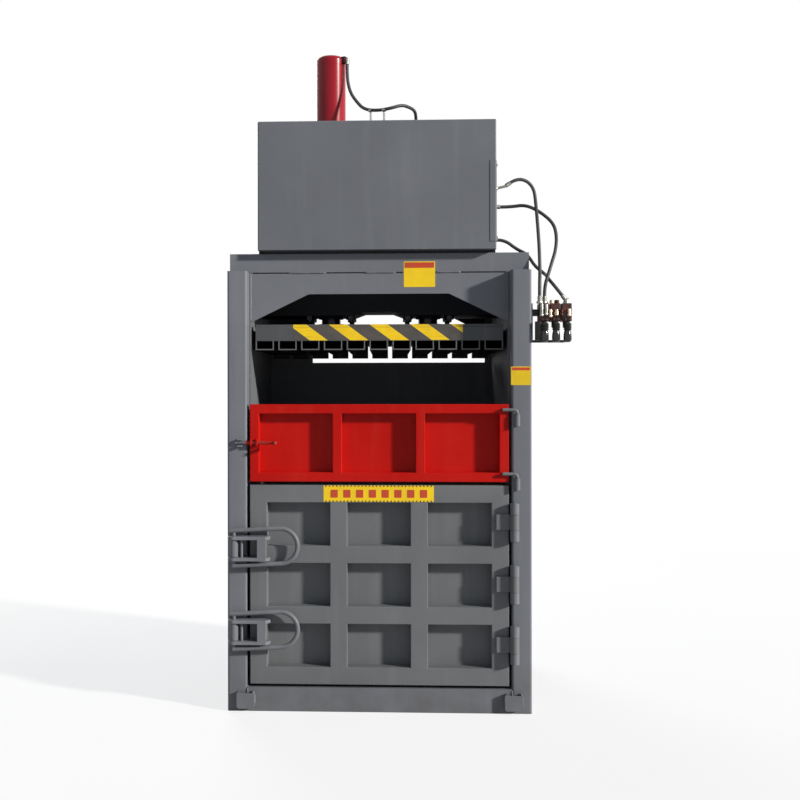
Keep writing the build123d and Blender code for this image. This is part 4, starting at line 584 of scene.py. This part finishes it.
# The upper hose leaves through a short bent stub, the others straight from their unions
COVER_SIDE = 0.508
ROOF_INLET = (0.172, -0.040, COVER_TOP)
SIDE_OUTLETS = ((-0.250, 2.191), (-0.120, 2.061))
STUB_Y, STUB_Z = -0.300, 2.264
STUB_TILT = math.radians(12)
STUB_REACH = 0.044
STUB_RADIUS = 0.006
FERRULE_TILT = math.radians(34)
STUB_BEND = (0.513 + STUB_REACH * math.cos(STUB_TILT), STUB_Y, STUB_Z + STUB_REACH * math.sin(STUB_TILT))


def past_bend(distance):
    """A point beyond the stub's bend, in line with its hose."""
    return (STUB_BEND[0] + distance * math.cos(FERRULE_TILT), STUB_Y,
            STUB_BEND[2] + distance * math.sin(FERRULE_TILT))


outlets = []
for y, z in SIDE_OUTLETS:
    outlets += placed(union(), aimed((COVER_SIDE, y, z), RIGHT))
outlets += placed(union(), aimed(ROOF_INLET, UP))
stub_collar = turned([(0, 0.009), (0.0105, 0.009), (0.0092, 0.014), (0.0062, 0.017), (0, 0.017)], 24)
outlets += placed([hex_nut(NUT_FLATS, NUT_HEIGHT), stub_collar], aimed((COVER_SIDE, STUB_Y, STUB_Z), RIGHT))
stub = bent_pipe([(0.512, STUB_Y, 2.2638), STUB_BEND, past_bend(0.010)], STUB_RADIUS)
outlets += placed([stub], Matrix.Identity(4))
outlets += placed([crimped_ferrule(0, FERRULE_LENGTH)],
                  aimed(past_bend(0.006), (math.cos(FERRULE_TILT), 0, math.sin(FERRULE_TILT))))
outlet_unions = piece("outlet_unions", joined(outlets), "frame", ZINC)
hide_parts("bulkhead_unions")

VALVE_TOP = 1.745
VALVE_FACE = -0.470
HOSE_PORTS = ((0.687, -0.455), (0.712, -0.422))
PLUG_ROW = -0.435
ELBOW_PORT = (0.806, -0.418, VALVE_TOP)
ELBOW_LEAN = math.radians(38)
inlets = []
for x, y in HOSE_PORTS:
    inlets += placed(union(), aimed((x, y, VALVE_TOP), UP))
inlets += placed([hex_nut(NUT_FLATS, NUT_HEIGHT)], aimed(ELBOW_PORT, UP))
elbow_neck = turned([(0, 0), (0.0092, 0), (0.0094, 0.014), (0.0062, 0.0212), (0, 0.0230)], 24)
inlets += placed([elbow_neck], aimed(ELBOW_PORT, UP))
elbow_axis = (-math.sin(ELBOW_LEAN), 0, math.cos(ELBOW_LEAN))
inlets += placed(union(0.006, 0.024), aimed((*ELBOW_PORT[:2], VALVE_TOP + 0.014), elbow_axis))
inlet_unions = piece("inlet_unions", joined(inlets), "frame", ZINC)


def port_plug(name, x, finish, radius=0.010, height=0.016):
    """A socket plug on the valves' top: chamfered rim and a hollow key hole."""
    shape = turned([(0, 0), (radius, 0), (radius, height - 0.003), (radius - 0.0015, height),
                    (radius * 0.55, height), (radius * 0.5, height - 0.007), (0, height - 0.007)], 24)
    return piece(name, joined(placed([shape], aimed((x, PLUG_ROW, VALVE_TOP), UP))), "frame", finish)


pale_plug = port_plug("pale_plug", 0.7415, NICKEL)
brown_plug = port_plug("brown_plug", 0.7625, BROWN_CAP)
for made in (inlet_unions, pale_plug, brown_plug):
    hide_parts("valve_fittings")


def cartridges(name, places, finish):
    """Relief cartridges in front of the valve sections: a hexagon foot and a domed barrel.

    Each place is its x, its foot's height, its length and its radius."""
    shapes = []
    for x, z, length, radius in places:
        barrel = turned([(0, 0.008), (radius, 0.008), (radius, length - 0.005),
                         (radius - 0.0015, length - 0.0015), (radius * 0.5, length), (0, length)], 24)
        shapes += placed([hex_nut(radius * 2, 0.009), barrel],
                         Matrix.Translation((x, VALVE_FACE - radius - 0.0015, z)))
    piece(name, joined(shapes), "frame", finish)


cartridges("zinc_cartridges", ((0.692, 1.689, 0.056, 0.0075), (0.7115, 1.693, 0.049, 0.0075)), ZINC)
cartridges("pale_cartridges", ((0.7295, 1.684, 0.036, 0.0072), (0.7550, 1.692, 0.027, 0.0080),
                               (0.8080, 1.689, 0.033, 0.0080)), NICKEL)
cartridges("brown_cartridges", ((0.7760, 1.690, 0.030, 0.0078),), BROWN_CAP)


# Cylinder port

PORT_ANGLE = math.radians(-27)
PORT_HEIGHT = 2.918
PORT_REACH = 0.088
port_out = Vector((math.cos(PORT_ANGLE), math.sin(PORT_ANGLE), 0))
port_centre = Vector((CYLINDER_X, 0, PORT_HEIGHT))
block_place = Matrix.Translation(port_centre) @ Matrix.Rotation(PORT_ANGLE, 4, "Z")
block = slab((0.062, -0.015, -0.015), (0.084, 0.015, 0.015), 0.002)
port_block = piece("port_block", joined([(block, block_place)]), "frame", MAROON)
elbow_centre = port_centre + port_out * PORT_REACH
collar = turned([(0, 0), (0.0095, 0), (0.0095, 0.004), (0, 0.004)], 24)
port_elbow = piece("port_elbow", joined([
    (collar, aimed(port_centre + port_out * 0.078, port_out)),
    (elbow_ball(0.0100), Matrix.Translation(elbow_centre)),
    (crimped_ferrule(0, FERRULE_LENGTH), aimed(elbow_centre, (0, 0, -1)))]), "frame", ZINC)
for made in (port_block, port_elbow):
    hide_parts("cylinder_port")


# Labels and tape

def plate(low, high, rounding=0.003):
    """A thin upright plate whose corners are rounded in the front view."""
    shape = slab(low, high)
    upright = [edge for edge in shape.edges if abs(edge.verts[0].co.y - edge.verts[1].co.y) > 0.00001]
    bevelled(shape, upright, rounding, 3)
    return shape


FILM = 0.0006


def label(name, body, x0, x1, z0, z1, face, strip, film):
    """A bare yellow field with a plain red strip along its top, which takes that share of it."""
    field = plate((x0, face - FILM, z0), (x1, face, z1))
    piece(name + "_field", field, body, film)
    band = plate((x0 + 0.004, face - 2 * FILM, z1 - (z1 - z0) * strip),
                 (x1 - 0.004, face - FILM, z1 - 0.004), 0.002)
    piece(name + "_band", band, body, RED_FILM)


label("beam_label", "frame", 0.109, 0.245, 1.824, BEAM_BOTTOM + 0.046, BEAM_FACE, 0.25, YELLOW)
label("column_label", "frame", 0.562, 0.646, 1.397, 1.476, DOOR_FACE, 0.2, AGED_YELLOW)

# The door's label: a yellow field, a row of plain blocks, and small teeth along both edges
LABEL_LEFT, LABEL_RIGHT = -0.236, 0.235
LABEL_LOW, LABEL_HIGH = 0.8995, 0.969
BLOCKS, BLOCK_LEFT, BLOCK_PITCH, BLOCK_WIDTH = 8, -0.206, 0.0545, 0.031
TEETH, TOOTH_PITCH, TOOTH_RADIUS = 30, 0.0155, 0.0048
door_field = plate((LABEL_LEFT, DOOR_FACE - FILM, LABEL_LOW), (LABEL_RIGHT, DOOR_FACE, LABEL_HIGH), 0.004)
piece("door_label_field", door_field, "bale_door", YELLOW)
blocks = []
for index in range(BLOCKS):
    x = BLOCK_LEFT + index * BLOCK_PITCH
    blocks.append(plate((x, DOOR_FACE - 2 * FILM, 0.917), (x + BLOCK_WIDTH, DOOR_FACE - FILM, 0.951), 0.003))
piece("door_label_blocks", joined(blocks), "bale_door", RED_FILM)
teeth = []
for index in range(TEETH):
    x = LABEL_LEFT + 0.0105 + index * TOOTH_PITCH
    for z, turn in ((LABEL_LOW + 0.003, 0), (LABEL_HIGH - 0.003, 180)):
        tooth = bmesh.new()
        bmesh.ops.create_cone(tooth, cap_ends=True, segments=3, radius1=TOOTH_RADIUS, radius2=TOOTH_RADIUS,
                              depth=FILM)
        spin = Matrix.Rotation(math.radians(90), 4, "X") @ Matrix.Rotation(math.radians(90 + turn), 4, "Z")
        teeth.append((tooth, Matrix.Translation((x, DOOR_FACE - 1.5 * FILM, z)) @ spin))
piece("door_label_teeth", joined(teeth), "bale_door", DARK_FILM)

TAPE_LEFT, TAPE_RIGHT = -0.375, 0.366
for name, face, z0, z1 in (("platen_tape", -0.375, 1.594, 1.6505),
                           ("platen_tape_lip", -0.369, 1.6515, 1.6635)):
    piece(name, plate((TAPE_LEFT, face - FILM, z0), (TAPE_RIGHT, face, z1), 0.001), "platen", TAPE)


# Lever arms and knobs

LEVER_PLACES = (0.704, 0.752, 0.800)
LEVER_AXIS = (-0.484, 1.674)
SOFT_CREASE = 50
GAITER_FOOT, GAITER_FOLDS, GAITER_PITCH = -0.0435, 4, 0.0072
for index, x in enumerate(LEVER_PLACES):
    body = f"lever_{index + 1}"
    pivot = Matrix.Translation((x, *LEVER_AXIS))
    hub = turned([(0.0032, -0.006), (0.0072, -0.006), (0.008, -0.005), (0.008, 0.005), (0.0072, 0.006),
                  (0.0032, 0.006), (0.0032, -0.006)], 24)
    stem = turned([(0, -0.086), (0.005, -0.086), (0.005, -0.050), (0.0044, -0.047), (0.0044, -0.012),
                   (0.0056, -0.006), (0, -0.004)], 20)
    arm = joined([(hub, aimed((x, *LEVER_AXIS), RIGHT)), (stem, pivot)])
    arm_piece = piece(f"lever_arm_{index + 1}", arm, body, BRACKET)
    knob = turned([(0, -0.096), (0.008, -0.0955), (0.0134, -0.0925), (0.0164, -0.087), (0.0172, -0.080),
                   (0.0172, -0.071), (0.0166, -0.062), (0.0152, -0.054), (0.0138, -0.048), (0.0130, -0.045),
                   (0.0120, -0.044), (0.0052, -0.044), (0, -0.044)], 32)
    knob_piece = piece(f"lever_knob_{index + 1}", joined([(knob, pivot)]), body, KNOB,
                       SOFT_CREASE)
    gaiter = [(0.0062, -0.044)]
    for ring in range(GAITER_FOLDS):
        z = GAITER_FOOT + ring * GAITER_PITCH
        gaiter += [(0.0160, z), (0.0176, z + 0.0024), (0.0160, z + 0.0048), (0.0138, z + 0.0062)]
    gaiter += [(0.0110, -0.0110), (0.0062, -0.0105), (0.0062, -0.044)]
    gaiter_piece = piece(f"lever_gaiter_{index + 1}", joined([(turned(gaiter, 24), pivot)]), body, RUBBER,
                         SOFT_CREASE)
    for made in (arm_piece, knob_piece, gaiter_piece):
        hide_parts(f"valve_lever_{index + 1}")


# Latch handles

# The bar's radius, how long its arms are, and how far each lies above or below the pivot
BAR_RADIUS = 0.010
LOOP_ARM = 0.198
LOOP_OFFSET = 0.075
LOOP_TILT = math.radians(-3)
PIN_RADIUS = 0.008
HUB_HALF = 0.0375


def bar_loop():
    """The bent bar of a latch handle about its own pivot: two arms and a half turn."""
    shape = bmesh.new()
    start = Matrix.Translation((-BAR_RADIUS, 0, LOOP_OFFSET)) @ Matrix.Rotation(math.radians(90), 4, "Y")
    bmesh.ops.create_circle(shape, cap_ends=False, segments=20, radius=BAR_RADIUS, matrix=start)
    ring = shape.edges[:]
    for reach in (LOOP_ARM + BAR_RADIUS, -LOOP_ARM - BAR_RADIUS):
        grown = bmesh.ops.extrude_edge_only(shape, edges=ring)["geom"]
        ends = [made for made in grown if isinstance(made, bmesh.types.BMVert)]
        bmesh.ops.translate(shape, vec=(reach, 0, 0), verts=ends)
        if reach > 0:
            rim = ends + [edge for edge in shape.edges if all(vert in ends for vert in edge.verts)]
            last = bmesh.ops.spin(shape, geom=rim, cent=(LOOP_ARM, 0, 0), axis=(0, 1, 0), angle=math.pi,
                                  steps=24, use_merge=False)["geom_last"]
            ring = [made for made in last if isinstance(made, bmesh.types.BMEdge)]
    bmesh.ops.holes_fill(shape, edges=[edge for edge in shape.edges if edge.is_boundary])
    return shape


for body, level in (("lower_latch", LATCH_LEVELS[0]), ("upper_latch", LATCH_LEVELS[1])):
    pivot = Matrix.Translation((LATCH_PIVOT[0], LATCH_PIVOT[1], level))
    pin = turned([(0, -LOOP_OFFSET), (PIN_RADIUS, -LOOP_OFFSET), (PIN_RADIUS, LOOP_OFFSET), (0, LOOP_OFFSET)],
                 24)
    hub = turned([(PIN_RADIUS, -HUB_HALF), (0.0165, -HUB_HALF), (0.018, -0.036), (0.018, 0.036),
                  (0.0165, HUB_HALF), (PIN_RADIUS, HUB_HALF), (PIN_RADIUS, -HUB_HALF)], 32)
    handle = joined([(bar_loop(), pivot @ Matrix.Rotation(LOOP_TILT, 4, "Y")), (pin, pivot), (hub, pivot)])
    made = piece(body + "_loop", handle, body, LOOP_PAINT)
    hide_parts(body)


# Plates and dark strips that the solids leave out

# A near-black plate across the rear of each pressing channel, hanging a little below it, which stands in for
# the shade deep in the channels
CHANNEL_PITCH = 0.1
CHANNEL_HALF = 0.040
CHANNEL_END = 0.375
CHANNEL_FOOT = 1.552
ends = [slab((CHANNEL_PITCH * index - CHANNEL_HALF, CHANNEL_END, CHANNEL_FOOT - 0.019),
             (CHANNEL_PITCH * index + CHANNEL_HALF, CHANNEL_END + 0.004, CHANNEL_FOOT + 0.040))
        for index in range(-5, 6)]
piece("channel_ends", joined(ends), "platen", BLACKENED)

# The web between the ears of each latch bracket
WEB_HALF = 0.038
webs = [slab((-0.488, -0.529, level - WEB_HALF), (-0.480, DOOR_FACE, level + WEB_HALF))
        for level in LATCH_LEVELS]
piece("latch_webs", joined(webs), "bale_door", GREY_DOOR)

# The corner plate at the top right of the rear window
GUSSET_FACE = 0.4000
GUSSET_CORNERS = ((0.0704, 1.889), (0.527, 1.889), (0.527, 1.6575))
GUSSET_PLATE = 0.006
gusset = bmesh.new()
face = gusset.faces.new([gusset.verts.new((x, GUSSET_FACE, z)) for x, z in GUSSET_CORNERS])
thick = bmesh.ops.extrude_face_region(gusset, geom=[face])
bmesh.ops.translate(gusset, vec=(0, GUSSET_PLATE, 0),
                    verts=[made for made in thick["geom"] if isinstance(made, bmesh.types.BMVert)])
piece("window_gusset", gusset, "frame", BLACKENED)

cover = slab((0.6635, -0.492, 1.586), (0.6905, -0.474, 1.667), 0.002)
piece("riser_cover", cover, "frame", BRACKET)

# Near-black strips between the side beams and the power pack's cover, painted shade that fills the dark gap
# under the cover's sides
COVER_FOOT = 1.983
SHADE_STRIP_WIDTH = 0.022
shade_strips = [slab((x, -0.388, BEAM_TOP), (x + SHADE_STRIP_WIDTH, 0.395, COVER_FOOT)) for x in (-0.523, 0.484)]
piece("cover_shade_strips", joined(shade_strips), "frame", SHADE_STRIP)


# Weld beads

WELD_FACE = DOOR_FACE - 0.001
WELD_CREASE = 60
THIN = 0.004


def upright_bead(x, y, z0, z1, *radius):
    return bead((x, y, z0), (x, y, z1), *radius)


def level_bead(x0, x1, y, z, *radius):
    return bead((x0, y, z), (x1, y, z), *radius)


welds = []
for side in (-1, 1):
    inner = side * COLUMN_INNER
    welds.append(level_bead(side * (COLUMN_INNER + 0.006), side * COLUMN_OUTER, -0.391, BEAM_BOTTOM))
    welds.append(upright_bead(inner, DOOR_FACE + 0.001, 0.004, 0.100))
    welds.append(bead((inner, DOOR_FACE + 0.010, 0.103), (inner, -0.422, 0.103)))
    welds.append(upright_bead(inner, -0.320, 0.15, 1.87, THIN))
    welds.append(level_bead(side * 0.540, side * 0.602, WELD_FACE, 0.016, THIN))
    for x in (0.5335, 0.6085):
        welds.append(upright_bead(side * x, WELD_FACE, 0.030, 0.074))
    welds.append(upright_bead(side * WALL_INNER, -0.388, 1.68, 1.885))
for x0, x1 in ((-0.394, -0.231), (-0.060, 0.073), (0.2475, 0.355)):
    welds.append(level_bead(x0, x1, BEAM_FACE, BEAM_BOTTOM))
piece("frame_welds", joined(welds), "frame", GREY, WELD_CREASE)

hinge_welds = []
leaf_welds = []
for level in HINGE_LEVELS:
    for z0, z1 in ((level - 0.078, level - 0.036), (level + 0.036, level + 0.078)):
        for x in (0.5665, 0.5835):
            hinge_welds.append(upright_bead(x, WELD_FACE, z0, z1, THIN))
    for z in (level - 0.0325, level + 0.0325):
        leaf_welds.append(level_bead(0.502, 0.551, WELD_FACE, z, THIN))
    leaf_welds.append(upright_bead(0.499, WELD_FACE, level - 0.030, level + 0.030, THIN))
piece("hinge_welds", joined(hinge_welds), "frame", GREY, WELD_CREASE)
for level in LATCH_LEVELS:
    for z in (level - 0.052, level - 0.038, level + 0.038, level + 0.052):
        leaf_welds.append(level_bead(-0.548, -0.488, WELD_FACE, z, THIN))
piece("door_welds", joined(leaf_welds), "bale_door", GREY_DOOR, WELD_CREASE)


# Floor, light and camera

# The floor's own two tones, and what it reflects onto the machine
FLOOR_PALE = (0.86, 0.86, 0.86, 1)
FLOOR_PALER = (0.89, 0.89, 0.89, 1)
FLOOR_BOUNCE = (0.42, 0.42, 0.42, 1)
WHITE = (1, 1, 1, 1)
SKY_FILL = (0.84, 0.95, 1.12, 1)
SKY_STRENGTH = 0.25

# The floor glows by this share near the machine, and wholly from the fade's end outwards
FADE_START, FADE_END = 1.6, 6.0
NEAR_GLOW = 0.72

LAMP_DISTANCE = 7
LAMP_TARGET = (0, 0, 1.4)


def floor_finish():
    """Pale studio floor that keeps the soft shadow and fades into the white background."""
    finish, tree, shader, place = blank("studio_floor")
    shader.inputs["Roughness"].default_value = 0.9
    shader.inputs["Specular IOR Level"].default_value = 0.1
    pale = mixed(tree, ramp(tree, noise(tree, place, 0.8, 3), 0.3, 0.7), FLOOR_PALE, FLOOR_PALER)
    glow = node(tree, "Emission", {"Color": WHITE, "Strength": 1.0})
    rays = node(tree, "LightPath")
    pale = mixed(tree, rays.outputs["Is Diffuse Ray"], pale, FLOOR_BOUNCE)
    tree.links.new(pale, shader.inputs["Base Color"])
    seen = math_node(tree, "ADD", rays.outputs["Is Camera Ray"], rays.outputs["Is Glossy Ray"], clamp=True)
    far = node(tree, "VectorMath", {0: place}, operation="LENGTH").outputs["Value"]
    share = math_node(tree, "MULTIPLY", seen, ramp(tree, far, FADE_START, FADE_END, NEAR_GLOW, 1.0))
    blend = node(tree, "MixShader", {0: share, 1: shader.outputs[0], 2: glow.outputs[0]})
    output = next(made for made in tree.nodes if made.type == "OUTPUT_MATERIAL")
    tree.links.new(blend.outputs[0], output.inputs[0])
    return finish


floor_shape = bmesh.new()
bmesh.ops.create_grid(floor_shape, x_segments=2, y_segments=2, size=60)
floor_mesh = bpy.data.meshes.new("floor")
floor_shape.to_mesh(floor_mesh)
floor_shape.free()
floor_mesh.materials.append(floor_finish())
floor = bpy.data.objects.new("floor", floor_mesh)
bpy.context.scene.collection.objects.link(floor)

world = bpy.data.worlds.new("studio")
bpy.context.scene.world = world
world.use_nodes = True
sky = world.node_tree
sky.nodes.clear()
rays = node(sky, "LightPath")
seen = math_node(sky, "ADD", rays.outputs["Is Camera Ray"], rays.outputs["Is Glossy Ray"], clamp=True)
seen = math_node(sky, "ADD", seen, rays.outputs["Is Transmission Ray"], clamp=True)
soft = node(sky, "Background", {"Color": SKY_FILL, "Strength": SKY_STRENGTH})
white = node(sky, "Background", {"Color": WHITE, "Strength": 1.0})
both = node(sky, "MixShader", {0: seen, 1: soft.outputs[0], 2: white.outputs[0]})
out = node(sky, "OutputWorld")
sky.links.new(both.outputs[0], out.inputs[0])


def towards(azimuth, elevation):
    """The direction of a lamp, its azimuth counted from the front to the right."""
    turn, lift = math.radians(azimuth), math.radians(elevation)
    return Vector((math.sin(turn) * math.cos(lift), -math.cos(turn) * math.cos(lift), math.sin(lift)))


def lamp(name, kind, azimuth, elevation, strength, spread, colour):
    """A lamp aimed at the machine; spread is a sun's angle in degrees or a disk's width in metres."""
    light = bpy.data.lights.new(name, kind)
    light.energy = strength
    light.color = colour
    made = bpy.data.objects.new(name, light)
    bpy.context.scene.collection.objects.link(made)
    direction = towards(azimuth, elevation)
    made.location = Vector(LAMP_TARGET) + direction * LAMP_DISTANCE
    made.rotation_euler = direction.to_track_quat("Z", "Y").to_euler()
    if kind == "SUN":
        light.angle = math.radians(spread)
    else:
        light.shape = "DISK"
        light.size = spread


lamp("key", "SUN", 65, 20, 4.9, 4, (1.0, 0.965, 0.92))
lamp("side", "AREA", 100, 12, 50, 1.6, (1.0, 0.98, 0.96))
lamp("back", "AREA", 205, 30, 260, 4.0, (1.0, 1.0, 1.0))

camera_data = bpy.data.cameras.new("camera")
camera_data.sensor_width = 36
camera_data.lens = 49.65
camera_data.shift_x = 0.0736
camera_data.shift_y = -0.0140
camera_data.clip_end = 200
camera = bpy.data.objects.new("camera", camera_data)
bpy.context.scene.collection.objects.link(camera)
camera.location = (0.0440, -5.1934, 1.3906)
camera.rotation_euler = (math.radians(89.90), math.radians(0.08), math.radians(2.48))
bpy.context.scene.camera = camera
bpy.context.scene.view_settings.view_transform = "Standard"
